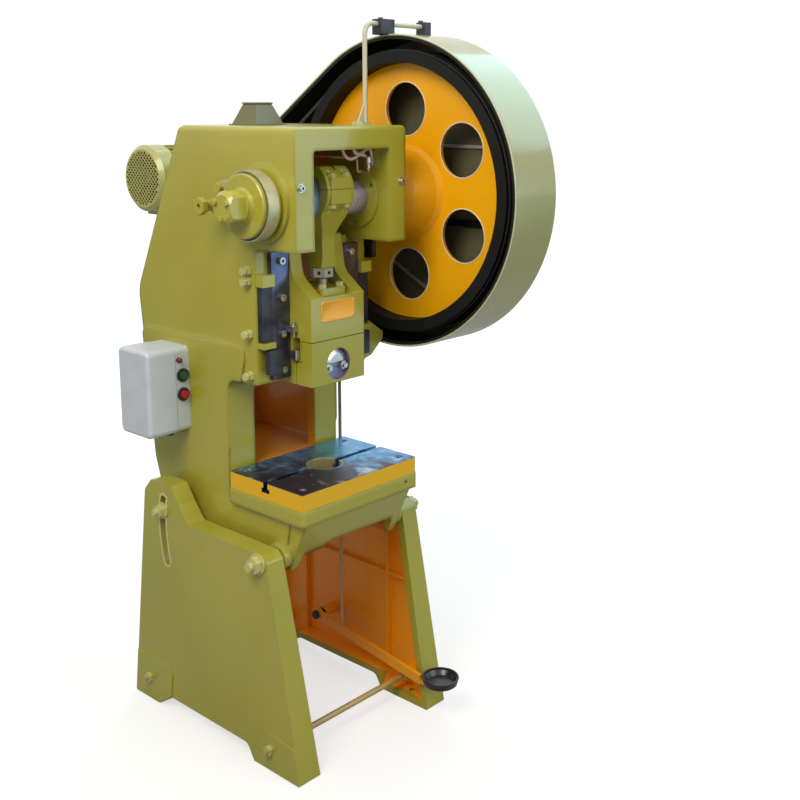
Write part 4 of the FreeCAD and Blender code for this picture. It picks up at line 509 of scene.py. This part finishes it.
def steel_skin():
    """Fine machining marks, a little drift in colour and oil that dulls it in patches."""
    skin, given, made, place = skin_group("steel_skin", (
        ("Colour", "Color"), ("Stain", "Color"), ("Gloss", "Float"), ("Run", "Vector"),
        ("Normal", "Vector")))
    stretch = skin.nodes.new("ShaderNodeVectorMath")
    stretch.operation = "MULTIPLY"
    feed(skin, place, stretch.inputs[0])
    feed(skin, given["Run"], stretch.inputs[1])
    marks = noise(skin, stretch.outputs[0], 8.0, detail=5.0)
    patches = spread(skin, noise(skin, place, 18.0, detail=4.0), 0.42, 0.70)
    feed(skin, mix(skin, patches, given["Colour"], given["Stain"]), made["Colour"])
    dull = spread(skin, marks, 0.0, 1.0, -0.10, 0.14)
    feed(skin, maths(skin, "ADD", given["Gloss"], dull), made["Roughness"])
    feed(skin, bump(skin, marks, given["Normal"], 0.18, 0.0003), made["Normal"])
    return skin


bare_skin = steel_skin()


def bare_metal(name, colour, stain, gloss, run, metallic, edge_radius):
    """Metal with no paint; run stretches its marks along X, Y or Z."""
    metal, shader = skinned(name, bare_skin, edge_radius, (
        ("Colour", colour), ("Stain", stain), ("Gloss", gloss), ("Run", run)))
    shader["Metallic"].default_value = metallic
    return metal


def begin(add, **given):
    """Starts a piece with a primitive at its size and place, and goes into edit mode."""
    start_piece()
    add(**given)
    bpy.ops.object.transform_apply(location=True, rotation=True, scale=True)
    bpy.ops.object.mode_set(mode="EDIT")
    return bpy.context.object


def copy_piece(piece, name, shift, body):
    twin = piece.copy()
    twin.data = piece.data.copy()
    bpy.context.scene.collection.objects.link(twin)
    for corner in twin.data.vertices:
        corner.co += Vector(shift)
    twin.name = name
    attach(twin, body)
    return twin


def cap_screw(name, place, radius, height, turn, out, coat, body):
    """A cap screw with a washer; out is the way that it faces, turn lays its axis along out."""
    place = Vector(place)
    out = Vector(out)
    washer_height = 0.0022
    screw = begin(bpy.ops.mesh.primitive_cylinder_add, vertices=24, radius=radius, depth=height,
                  rotation=turn, location=place + out * height / 2)
    pick(screw, "FACE", lambda face: face.normal.dot(out) > 0.9)
    bpy.ops.mesh.inset(thickness=radius * 0.14, depth=0.0)
    bpy.ops.mesh.inset(thickness=radius * 0.32, depth=0.0)
    bpy.ops.mesh.inset(thickness=radius * 0.04, depth=-height * 0.55)
    pick(screw, "FACE", lambda face: face.normal.dot(out) < -0.9)
    bpy.ops.mesh.inset(thickness=radius * 0.02, depth=0.0)

    def on_crown(edge):
        return (edge.is_manifold
                and min(face.normal.dot(out) for face in edge.link_faces) < 0.5
                and all(abs((corner.co - place).dot(out) - height) < 1e-5
                        and (corner.co - place - out * height).length > radius * 0.9
                        for corner in edge.verts))

    pick(screw, "EDGE", on_crown)
    bpy.ops.mesh.bevel(offset=radius * 0.10, segments=2, affect="EDGES")
    bpy.ops.mesh.select_all(action="DESELECT")
    bpy.ops.mesh.primitive_cylinder_add(vertices=24, radius=radius * 1.45, depth=washer_height,
                                        rotation=turn, location=place + out * washer_height / 2)
    bpy.ops.mesh.bevel(offset=0.0004, segments=1, affect="EDGES")
    return settle(screw, name, coat, body)


bright_steel = bare_metal("bright_steel", (0.62, 0.61, 0.60), (0.36, 0.34, 0.33), 0.30,
                          (10.0, 10.0, 10.0), 1.0, 0.0006)
cheek_front = -0.3195
cheek_spacing = 0.380
cheek_screw_place = (-cheek_spacing / 2, cheek_front, 1.609)
cheek_screw_radius = 0.0085
cheek_screw_head = 0.010
cheek_screw = cap_screw("cheek_screw_left", cheek_screw_place, cheek_screw_radius, cheek_screw_head,
                        (math.pi / 2, 0.0, 0.0), (0.0, -1.0, 0.0), bright_steel, "frame")
copy_piece(cheek_screw, "cheek_screw_right", (cheek_spacing, 0.0, 0.0), "frame")


# ---------------------------------------------------------------- the bolster plate
# A ground steel plate with one tee slot and a drop hole. Its edges are painted yellow-orange;
# the top is bare and dark with rust-preventing oil, and its mirroring of the sky is a painted
# reflection: blue towards the right and back, with pale streaks that are partly smears of oil
# and partly painted reflection. The bore of the drop hole is painted pale cream as painted
# light. Bright socket screws hold it at its four corners, and others like them hold the
# guide bars.
plate_low, plate_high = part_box("bolster_plate")
plate_middle = (plate_low + plate_high) / 2
plate_finish, plate_tree, plate_shader = new_finish("bolster_steel")
plate_place = object_place(plate_tree)
plate_axes = plate_tree.nodes.new("ShaderNodeSeparateXYZ")
feed(plate_tree, plate_place, plate_axes.inputs[0])
hole_reach = 0.0535
side_skin = 0.0004
bare_edge = 0.002
bare_metallic = 0.85


def plate_value(operation, first, second=None):
    return maths(plate_tree, operation, first, second)


plate_x = plate_axes.outputs[0]
plate_y = plate_value("SUBTRACT", plate_axes.outputs[1], plate_middle.y)
side_x = plate_value("GREATER_THAN", plate_value("ABSOLUTE", plate_x), plate_high.x - side_skin)
side_y = plate_value("GREATER_THAN", plate_value("ABSOLUTE", plate_y),
                     plate_high.y - plate_middle.y - side_skin)
below_rim = plate_value("LESS_THAN", plate_axes.outputs[2], plate_high.z - bare_edge)
on_side = plate_value("MULTIPLY", plate_value("MAXIMUM", side_x, side_y), below_rim)
from_hole = plate_value("POWER", plate_value("ADD", plate_value("MULTIPLY", plate_x, plate_x),
                                             plate_value("MULTIPLY", plate_y, plate_y)), 0.5)
painted_lit_bore = plate_value("LESS_THAN", from_hole, hole_reach)
# Painted reflection: the top goes from dark navy to bright blue towards the right and back, with
# pale streaks that are partly oil smears and partly painted reflection.
smear_and_reflection_cloud = noise(plate_tree, plate_place, 11.0, detail=5.0, distortion=1.4)
sky_reflection_side = plate_value("ADD", plate_value("MULTIPLY", plate_x, 0.95),
                       plate_value("MULTIPLY", plate_y, 1.05))
painted_sky_reflection = spread(plate_tree, plate_value("ADD", smear_and_reflection_cloud, sky_reflection_side), 0.40, 0.66)
wiped_smear_and_reflection = spread(plate_tree, smear_and_reflection_cloud, 0.58, 0.75, 0.0, 0.75)
plate_colour = mix(plate_tree, painted_sky_reflection, (0.046, 0.050, 0.092), (0.110, 0.400, 0.720))
plate_colour = mix(plate_tree, wiped_smear_and_reflection, plate_colour, (0.66, 0.71, 0.77))
# Painted light: the bore of the drop hole is painted pale cream, as if lit.
plate_colour = mix(plate_tree, painted_lit_bore, plate_colour, (0.62, 0.55, 0.33))
plate_colour = mix(plate_tree, on_side, plate_colour, (0.820, 0.460, 0.004))
feed(plate_tree, plate_colour, plate_shader["Base Color"])
painted_part = plate_value("MULTIPLY", on_side, bare_metallic)
feed(plate_tree, plate_value("SUBTRACT", bare_metallic, painted_part), plate_shader["Metallic"])
grinding_run = plate_tree.nodes.new("ShaderNodeMapping")
grinding_run.inputs["Scale"].default_value = (0.3, 14.0, 1.0)
feed(plate_tree, plate_place, grinding_run.inputs["Vector"])
grinding = noise(plate_tree, grinding_run.outputs[0], 30.0, detail=4.0)
feed(plate_tree, spread(plate_tree, grinding, 0.0, 1.0, 0.22, 0.46), plate_shader["Roughness"])
feed(plate_tree, bump(plate_tree, grinding, rounded_edges(plate_tree, 0.0015), 0.15, 0.0003),
     plate_shader["Normal"])
finish_node("bolster_plate", plate_finish)
finish_node("socket_screws", bright_steel)


# ---------------------------------------------------------------- the slide's guideway
# Ground guide bars with a blue shine are screwed to the frame. Set bolts with lock nuts come
# through its sides to the blackened wedge bars beside them, between painted keepers. The
# bolts of the motor's feet are painted with these.
finish_node("guide_bars", bare_metal("way_steel", (0.13, 0.14, 0.24), (0.05, 0.05, 0.09), 0.30,
                                     (6.0, 6.0, 0.6), 0.9, 0.001))
dark_steel = bare_metal("dark_steel", (0.055, 0.058, 0.075), (0.025, 0.025, 0.035), 0.42,
                        (8.0, 8.0, 8.0), 0.7, 0.001)
finish_node("gib_backing", dark_steel)
finish_node("gib_keepers", green_enamel)
# Painted highlight: these bolts take the paler bolt enamel.
finish_node("hexagon_bolts", bolt_highlight_enamel)


# ---------------------------------------------------------------- crankshaft and bearings
# One steel forging with turned and polished journals. Inside the head their colour is painted
# blue left of the middle and lilac right of it, as painted reflections. It runs in flanged
# bushes, painted over outside.
journal_steel = bare_metal("journal_steel", (0.46, 0.47, 0.60), (0.30, 0.27, 0.40), 0.26,
                           (60.0, 2.0, 2.0), 1.0, 0.001)
# Painted reflection: the blue and lilac base colours of the journals inside the head.
blue_reflection_journal = bare_metal("blue_reflection_journal", (0.30, 0.54, 0.80), (0.22, 0.36, 0.60), 0.24,
                          (16.0, 1.0, 1.0), 0.45, 0.001)
lilac_reflection_journal = bare_metal("lilac_reflection_journal", (0.56, 0.47, 0.62), (0.34, 0.27, 0.38), 0.24,
                           (16.0, 1.0, 1.0), 0.45, 0.001)
head_inside = 0.16


def finish_where(name, rule, further):
    """The faces of a piece that the rule picks take a further finish."""
    body = pieces[name].data
    body.materials.append(further)
    for face in body.polygons:
        if rule(face):
            face.material_index = len(body.materials) - 1


finish_node("crankshaft", journal_steel)
finish_where("crankshaft", lambda face: -head_inside < face.center.x < 0.0, blue_reflection_journal)
finish_where("crankshaft", lambda face: 0.0 <= face.center.x < head_inside, lilac_reflection_journal)
finish_node("crank_collars", journal_steel)
finish_node("bearing_bushes", green_enamel)


# ---------------------------------------------------------------- the band brake
# A painted iron drum on the crankshaft's left end, in a steel band with a moulded friction
# lining. Two painted studs in the frame's side carry the ears at the band's ends.

def moulded(name, colour, second, gloss, grain):
    """Rubber, friction lining or moulded plastic with a fine grain."""
    coat, tree, shader = new_finish(name)
    place = object_place(tree)
    cloud = noise(tree, place, 14.0, detail=5.0)
    feed(tree, mix(tree, spread(tree, cloud, 0.38, 0.70), colour, second), shader["Base Color"])
    feed(tree, spread(tree, cloud, 0.0, 1.0, gloss - 0.06, gloss + 0.08), shader["Roughness"])
    pores = noise(tree, place, 900.0)
    feed(tree, bump(tree, pores, rounded_edges(tree, 0.0015), grain, 0.0003), shader["Normal"])
    return coat


finish_node("brake_drum", green_enamel)
finish_node("brake_anchors", green_enamel)
finish_node("brake_band", bare_metal("band_steel", (0.50, 0.49, 0.34), (0.40, 0.38, 0.20), 0.40,
                                     (2.0, 12.0, 12.0), 0.45, 0.0008))
finish_node("brake_lining", moulded("brake_lining", (0.10, 0.085, 0.07), (0.16, 0.14, 0.11),
                                    0.8, 0.5))


# ---------------------------------------------------------------- the connecting rod
# A painted iron rod with a bronze-lined cap held by four bolts. Its neck holds the adjusting
# screw, which is turned steel, dulled by grease.
bronze = bare_metal("bronze", (0.52, 0.34, 0.16), (0.30, 0.19, 0.09), 0.38, (30.0, 3.0, 3.0),
                    1.0, 0.0006)
finish_node("connecting_rod", green_enamel)
finish_node("rod_cap", green_enamel)
# Painted highlight: the cap bolts take the paler bolt enamel.
finish_node("rod_cap_bolts", bolt_highlight_enamel)
finish_node("rod_bearing", bronze)
finish_node("ball_screw", bare_metal("screw_steel", (0.42, 0.40, 0.30), (0.24, 0.22, 0.15), 0.34,
                                     (3.0, 3.0, 60.0), 0.8, 0.0008))


# ---------------------------------------------------------------- the slide
# A painted iron block that runs in the guideway, with a cap over the rod's ball and a clamp
# for the tool's shank. The clamp's round recess is bare steel, darkened to purple-grey as painted
# shade with a painted reflection tint, and its studs and nuts are bright.
clamp_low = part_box("shank_clamp")[0]
recess_height = 0.052
recess_middle = Vector((0.0, 0.0, clamp_low.z + recess_height))
recess_radius = 0.0455
recess_depth = 0.021
low_studs = 1.20


def in_recess(face):
    from_middle = Vector((face.center.x, 0.0, face.center.z)) - recess_middle
    return from_middle.length < recess_radius and face.center.y < clamp_low.y + recess_depth


for name in ("slide_casting", "ball_cap", "shank_clamp"):
    finish_node(name, green_enamel)
# Painted shade and reflection: the recess's purple-grey darkness.
finish_where("shank_clamp", in_recess,
             bare_metal("recess_shade_steel", (0.27, 0.26, 0.40), (0.17, 0.16, 0.27), 0.36,
                        (12.0, 2.0, 12.0), 0.7, 0.0008))
# Painted highlight: the ball cap's bolts take the paler bolt enamel.
finish_node("slide_fasteners", bolt_highlight_enamel)
finish_where("slide_fasteners", lambda face: face.center.z < low_studs, bright_steel)


# ---------------------------------------------------------------- the slide's riveted plate
# A thin pressed plate with a raised border, enamelled orange. Four small round-headed rivets
# hold it to the slide's front at its corners.
slide_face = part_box("slide_casting")[0].y
front_thick = 0.0016
front_size = (0.130, front_thick, 0.058)
front_corner = 0.0075
front_plate = begin(bpy.ops.mesh.primitive_cube_add, size=1.0, scale=front_size,
                    location=(-0.001, slide_face - front_thick / 2, 1.261))
pick(front_plate, "EDGE", lambda edge: abs(edge.verts[0].co.y - edge.verts[1].co.y) > 0.001)
bpy.ops.mesh.bevel(offset=front_corner, segments=5, affect="EDGES")
pick(front_plate, "FACE", lambda face: face.normal.y < -0.9)
bpy.ops.mesh.inset(thickness=0.0015, depth=0.0004)
bpy.ops.mesh.inset(thickness=0.0030, depth=0.0)
bpy.ops.mesh.inset(thickness=0.0010, depth=-0.0006)
front_enamel = painted("slide_plate_enamel", (0.840, 0.380, 0.012), (0.880, 0.440, 0.020),
                       (0.520, 0.210, 0.012), 0.34, 0.0004, clear=0.1)
settle(front_plate, "slide_plate", front_enamel, "slide")

rivet_across = 0.118
rivet_up = 0.046
rivet_radius = 0.0030
rivet_place = Vector((-0.060, slide_face - 0.0014, 1.238))
rivet = begin(bpy.ops.mesh.primitive_uv_sphere_add, segments=14, ring_count=8, radius=rivet_radius,
              location=rivet_place)
bpy.ops.mesh.select_all(action="SELECT")
bpy.ops.mesh.bisect(plane_co=rivet_place, plane_no=(0.0, 1.0, 0.0), use_fill=True, clear_outer=True)
bpy.ops.mesh.select_all(action="SELECT")
bpy.ops.transform.resize(value=(1.0, 0.6, 1.0), center_override=rivet_place)
settle(rivet, "plate_rivet_1", bright_steel, "slide", 60.0)
for count, shift in enumerate(((rivet_across, 0.0, 0.0), (0.0, 0.0, rivet_up),
                               (rivet_across, 0.0, rivet_up)), 2):
    copy_piece(rivet, "plate_rivet_" + str(count), shift, "slide")


# ---------------------------------------------------------------- the knock-out bar
# A loose bright bar across the slide, which two stop screws hold back as the slide rises.
# The screws stand in bright brackets on the guide bars.
finish_node("knockout_bar", bright_steel)
finish_node("knockout_stops", bright_steel)


# ---------------------------------------------------------------- the flywheel
# A cast wheel on a bronze bush: orange on its web and hub, black on its grooved rim where the
# belts run.
wheel_low, wheel_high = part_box("flywheel")
wheel_middle = (wheel_low + wheel_high) / 2
rim_inside = 0.3775
wheel_enamel = painted("wheel_enamel", (0.940, 0.420, 0.003), (0.960, 0.460, 0.004),
                       (0.420, 0.150, 0.008), 0.34, 0.004, clear=0.15, shine=0.3)
rim_black = painted("rim_black", (0.005, 0.005, 0.006), (0.009, 0.009, 0.010),
                    (0.018, 0.016, 0.012), 0.50, 0.003, clear=0.0, shine=0.2)


def on_rim(face):
    return math.hypot(face.center.y - wheel_middle.y, face.center.z - wheel_middle.z) > rim_inside


finish_node("flywheel", wheel_enamel)
finish_where("flywheel", on_rim, rim_black)
finish_node("flywheel_bush", bronze)


# ---------------------------------------------------------------- the wheel's turned edges
# The six round windows are bored after casting, and their sharp edge is turned off to a ring,
# as wide as the tool's nose, painted pale all round as a painted highlight of the edge.
web_face = 0.356
wheel_axis = Vector((web_face, wheel_middle.y, wheel_middle.z))
window_circle = 0.245
window_radius = 0.0790
first_window = math.radians(32.0)


def window_place(count):
    angle = first_window + count * math.pi / 3
    return wheel_axis + window_circle * Vector((0.0, -math.cos(angle), math.sin(angle)))


ring = begin(bpy.ops.mesh.primitive_torus_add, major_radius=window_radius, minor_radius=0.0022,
             major_segments=56, minor_segments=10, location=window_place(0),
             rotation=(0.0, math.pi / 2, 0.0))
bpy.ops.mesh.select_all(action="SELECT")
bpy.ops.transform.resize(value=(0.7, 1.0, 1.0), center_override=window_place(0))
# Painted highlight: the pale enamel of the rings round the windows.
ring_highlight_enamel = painted("ring_highlight_enamel", (0.80, 0.62, 0.42), (0.86, 0.70, 0.52), (0.60, 0.36, 0.14),
                      0.26, 0.0005)
settle(ring, "window_ring_1", ring_highlight_enamel, "flywheel", 60.0)
for count in range(1, 6):
    copy_piece(ring, "window_ring_" + str(count + 1), window_place(count) - window_place(0),
               "flywheel")


# ---------------------------------------------------------------- the belt guard
# Sheet steel rolled round the flywheel and the belts, welded to a flat right side. Olive
# outside; inside and on the turned-in left edge it is painted near-black as painted shade, and
# the inside of the closed side a dark olive as painted shade. A round bar bent over its top
# holds it with two clamps, and a gusset below with a bolted flange.
sheet_enamel = painted("sheet_enamel", (0.335, 0.330, 0.110), (0.375, 0.370, 0.140), olive_grime,
                       0.24, 0.001, clear_ior=1.6)
# Painted shade: near-black inside the guard and on its turned-in left edge, dark olive on the inside
# of the closed side.
guard_painted_shade = painted("guard_painted_shade", (0.006, 0.006, 0.007), (0.011, 0.011, 0.012),
                      (0.030, 0.028, 0.022), 0.46, 0.001, clear=0.0, shine=0.25)
guard_wall_shade = painted("guard_wall_shade", (0.110, 0.105, 0.060), (0.170, 0.165, 0.100),
                     (0.040, 0.036, 0.022), 0.40, 0.001)
stay_enamel = painted("stay_enamel", (0.50, 0.49, 0.36), (0.56, 0.55, 0.42), (0.30, 0.28, 0.16),
                      0.40, 0.001)
low_gusset = 1.30
finish_hollow("belt_guard", sheet_enamel, guard_painted_shade, round_about + (rightward,), guard_wall_shade)
finish_node("guard_stays", stay_enamel)
finish_node("guard_clamps", dark_steel)
finish_where("guard_clamps", lambda face: face.center.z < low_gusset, green_enamel)


# ---------------------------------------------------------------- the guard's wired edges
# The guard's two outer edges are rolled over a wire. The left one is painted pale, as a
# painted highlight along the edge.
guard_low, guard_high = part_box("belt_guard")
guard_heart = (guard_low + guard_high) / 2
drawn_in = 0.9945


def lay_wire(name, side_x, wire, coat):
    """A round bead along the guard's outer edge at one side."""
    def outer_edge(edge):
        if any(abs(corner.co.x - side_x) > 0.0002 for corner in edge.verts):
            return False
        around = [face for face in edge.link_faces if abs(face.normal.x) < 0.2]
        flat = [face for face in edge.link_faces if abs(face.normal.x) > 0.9]
        if len(around) != 1 or len(flat) != 1:
            return False
        away = flat[0].calc_center_median() - (edge.verts[0].co + edge.verts[1].co) / 2
        return around[0].normal.dot(away) < 0.0 and (
            around[0].normal.dot(edge.verts[0].co - guard_heart) > 0.0)

    bead = copy_solid("belt_guard")
    pick(bead, "EDGE", outer_edge)
    bpy.ops.mesh.select_all(action="INVERT")
    bpy.ops.mesh.delete(type="EDGE_FACE")
    bpy.ops.mesh.select_all(action="SELECT")
    bpy.ops.mesh.delete_loose(use_verts=True, use_edges=False, use_faces=False)
    bpy.ops.mesh.select_all(action="SELECT")
    bpy.ops.transform.resize(value=(1.0, drawn_in, drawn_in), center_override=guard_heart)
    bpy.ops.object.mode_set(mode="OBJECT")
    bpy.ops.object.convert(target="CURVE")
    bead.data.bevel_depth = wire
    bead.data.bevel_resolution = 2
    bpy.ops.object.convert(target="MESH")
    return settle(bpy.context.object, name, coat, "frame", 60.0)


# Painted highlight: the left bead's pale enamel.
bead_highlight_enamel = painted("bead_highlight_enamel", (0.50, 0.49, 0.30), (0.56, 0.55, 0.36), (0.30, 0.28, 0.14),
                      0.28, 0.001)
lay_wire("guard_bead_left", guard_low.x, 0.0028, bead_highlight_enamel)
lay_wire("guard_bead_right", guard_high.x, 0.0022, sheet_enamel)


# ---------------------------------------------------------------- the guard's flat bars
# Flat bars are welded across the inside of the guard's closed side, which they keep from
# drumming. One is level over the shaft and one leans, both painted pale as painted highlights;
# one below the shaft is painted black as painted shade.
guard_sheet = 0.003
bar_thick = 0.009
bar_edge = 0.0015
# Painted highlight on two bars, painted shade on the third.
bar_highlight_pale = painted("bar_highlight_pale", (0.36, 0.38, 0.36), (0.44, 0.46, 0.44), (0.14, 0.14, 0.10),
                   0.26, 0.0008)
for count, (lean, length, wide, bar_y, bar_z, coat) in enumerate((
        (0.0, 0.74, 0.020, wheel_middle.y, 1.469, guard_painted_shade),
        (0.0, 0.76, 0.010, wheel_middle.y, 1.697, bar_highlight_pale),
        (27.0, 0.46, 0.009, -0.1445, 1.275, bar_highlight_pale)), 1):
    bar_place = Vector((guard_high.x - guard_sheet - bar_thick / 2, bar_y, bar_z))
    bar = begin(bpy.ops.mesh.primitive_cube_add, size=1.0, location=bar_place,
                scale=(bar_thick, length, wide))
    bpy.ops.mesh.select_all(action="SELECT")
    bpy.ops.mesh.bevel(offset=bar_edge, segments=2, affect="EDGES")
    bpy.ops.mesh.select_all(action="SELECT")
    bpy.ops.transform.rotate(value=-math.radians(lean), orient_axis="X", center_override=bar_place)
    settle(bar, "guard_bar_" + str(count), coat, "frame")


# ---------------------------------------------------------------- the guard's round cover
# The wheel's shaft end is reached through a round cover in the closed side. It is pressed from
# sheet with one low step down and one up, and held by six small bright screws.
cover_radius = 0.092
cover_thick = 0.0024
cover_screw_circle = 0.082
cover_screw_radius = 0.0028
cover_screw_head = 0.0018
screw_seat = guard_high.x + 0.0016
facing_right = (0.0, math.pi / 2, 0.0)
cover = begin(bpy.ops.mesh.primitive_cylinder_add, vertices=64, radius=cover_radius,
              depth=cover_thick, rotation=facing_right,
              location=(guard_high.x + cover_thick / 2, wheel_middle.y, wheel_middle.z))
pick(cover, "FACE", lambda face: face.normal.x > 0.9)
bpy.ops.mesh.inset(thickness=0.0006, depth=0.0004)
bpy.ops.mesh.inset(thickness=0.0180, depth=0.0)
bpy.ops.mesh.inset(thickness=0.0030, depth=-0.0012)
bpy.ops.mesh.inset(thickness=0.0300, depth=0.0)
bpy.ops.mesh.inset(thickness=0.0040, depth=0.0010)
settle(cover, "guard_cover", sheet_enamel, "frame", 50.0)
cover_screw_place = (screw_seat, wheel_middle.y, wheel_middle.z + cover_screw_circle)
cover_screw = cap_screw("cover_screw_1", cover_screw_place, cover_screw_radius, cover_screw_head,
                        facing_right, rightward, bright_steel, "frame")
for count in range(1, 6):
    angle = count * math.pi / 3
    shift = cover_screw_circle * Vector((0.0, -math.sin(angle), math.cos(angle) - 1.0))
    copy_piece(cover_screw, "cover_screw_" + str(count + 1), shift, "frame")


# ---------------------------------------------------------------- the motor and its belts
# A finned motor in the press's green, on a shelf bolted to the frame's sloping back. Its
# pressed fan cowl and terminal box are sprayed a duller olive, and its fan is moulded. Three
# rubber belts drive the wheel.
cowl_enamel = painted("cowl_enamel", (0.36, 0.345, 0.095), (0.42, 0.405, 0.130), olive_grime,
                      0.36, 0.001)
for name in ("motor_bracket", "motor_housing"):
    finish_node(name, green_enamel)
for name in ("fan_cover", "terminal_box"):
    finish_node(name, cowl_enamel)
finish_node("motor_shaft", journal_steel)
finish_node("motor_pulley", dark_steel)
finish_node("motor_fan", moulded("fan_plastic", (0.02, 0.02, 0.02), (0.035, 0.035, 0.03), 0.5, 0.2))
finish_node("drive_belts", moulded("belt_rubber", (0.012, 0.012, 0.014), (0.026, 0.026, 0.028),
                                   0.55, 0.3))


# ---------------------------------------------------------------- oil box, pipes and cups
# A tapered sheet box stands on the head, painted a dark olive. Bare drawn copper pipes feed
# the two bearings from the head's roof, and bright cups are screwed in beside them.
copper = bare_metal("copper", (0.92, 0.70, 0.60), (0.74, 0.46, 0.36), 0.22, (10.0, 10.0, 10.0),
                    0.35, 0.0004)
finish_node("oil_box", painted("oil_box_enamel", (0.110, 0.105, 0.040), (0.140, 0.135, 0.052),
                               (0.060, 0.055, 0.022), 0.30, 0.001, clear=0.2))
finish_node("oil_pipes", copper)
finish_node("oil_cups", bright_steel)


# ---------------------------------------------------------------- the grease pipes
# Two soft tubes, bent by hand, run from nipples in the roof of the head down to the right
# bearing. They are bare, drawn copper with brazed ends.
pipe_radius = 0.0050
for count, route in enumerate((
        ((0.055, -0.262, 1.713), (0.060, -0.262, 1.690), (0.088, -0.262, 1.684),
         (0.118, -0.260, 1.704), (0.138, -0.256, 1.690), (0.141, -0.252, 1.660),
         (0.146, -0.252, 1.648)),
        ((0.030, -0.246, 1.713), (0.034, -0.246, 1.684), (0.066, -0.246, 1.668),
         (0.102, -0.246, 1.686), (0.130, -0.244, 1.676), (0.136, -0.240, 1.650),
         (0.146, -0.238, 1.634))), 1):
    start_piece()
    bpy.ops.curve.primitive_nurbs_path_add(location=(0.0, 0.0, 0.0))
    pipe = bpy.context.object
    run = pipe.data.splines[0]
    run.points.add(len(route) - len(run.points))
    for point, place in zip(run.points, route):
        point.co = (*place, 1.0)
    run.order_u = 3
    run.use_endpoint_u = True
    pipe.data.resolution_u = 8
    pipe.data.bevel_depth = pipe_radius
    pipe.data.bevel_resolution = 3
    pipe.data.use_fill_caps = True
    bpy.ops.object.convert(target="MESH")
    settle(bpy.context.object, "grease_pipe_" + str(count), copper, "frame", 60.0)


# ---------------------------------------------------------------- treadle and pull rod
# A flat iron lever, brushed orange, with a dished rubber foot pad, turns on a pin in the right
# leg. A long round bar runs up to the clutch lever, pale orange-brown below the table and dark
# above.
table_underside = 0.75
finish_node("treadle_lever", painted("treadle_enamel", (0.88, 0.330, 0.006), (0.92, 0.390, 0.010),
                                     orange_grime, 0.36, 0.0015))
finish_node("pedal_pad", moulded("pad_rubber", (0.010, 0.010, 0.013), (0.022, 0.022, 0.026),
                                 0.24, 0.2))
finish_node("pull_rod", dark_steel)
finish_where("pull_rod", lambda face: face.center.z < table_underside,
             painted("pull_rod_paint", (0.60, 0.36, 0.14), (0.66, 0.43, 0.20), (0.34, 0.18, 0.06),
                     0.42, 0.001))
for name in ("treadle_pin", "return_spring", "clutch_lever"):
    finish_node(name, dark_steel)
finish_node("clutch_bracket", green_enamel)


# ---------------------------------------------------------------- the switch box
# A moulded grey box with its cover, black bezels, a green and a red button and a small red
# pilot lamp, which is not lit.
box_plastic = moulded("box_plastic", (0.60, 0.64, 0.75), (0.55, 0.59, 0.69), 0.38, 0.15)
finish_node("control_box_base", box_plastic)
finish_node("control_box_cover", box_plastic)
for name, plastic, colour, second, gloss, grain in (
        ("box_fittings", "bezel_plastic", (0.02, 0.02, 0.024), (0.03, 0.03, 0.034), 0.35, 0.1),
        ("indicator_lamp", "lamp_lens", (0.110, 0.012, 0.010), (0.080, 0.010, 0.008), 0.15, 0.05),
        ("start_button", "green_button", (0.016, 0.115, 0.062), (0.012, 0.090, 0.048), 0.25, 0.05),
        ("stop_button", "red_button", (0.520, 0.018, 0.040), (0.430, 0.014, 0.030), 0.25, 0.05)):
    finish_node(name, moulded(plastic, colour, second, gloss, grain))
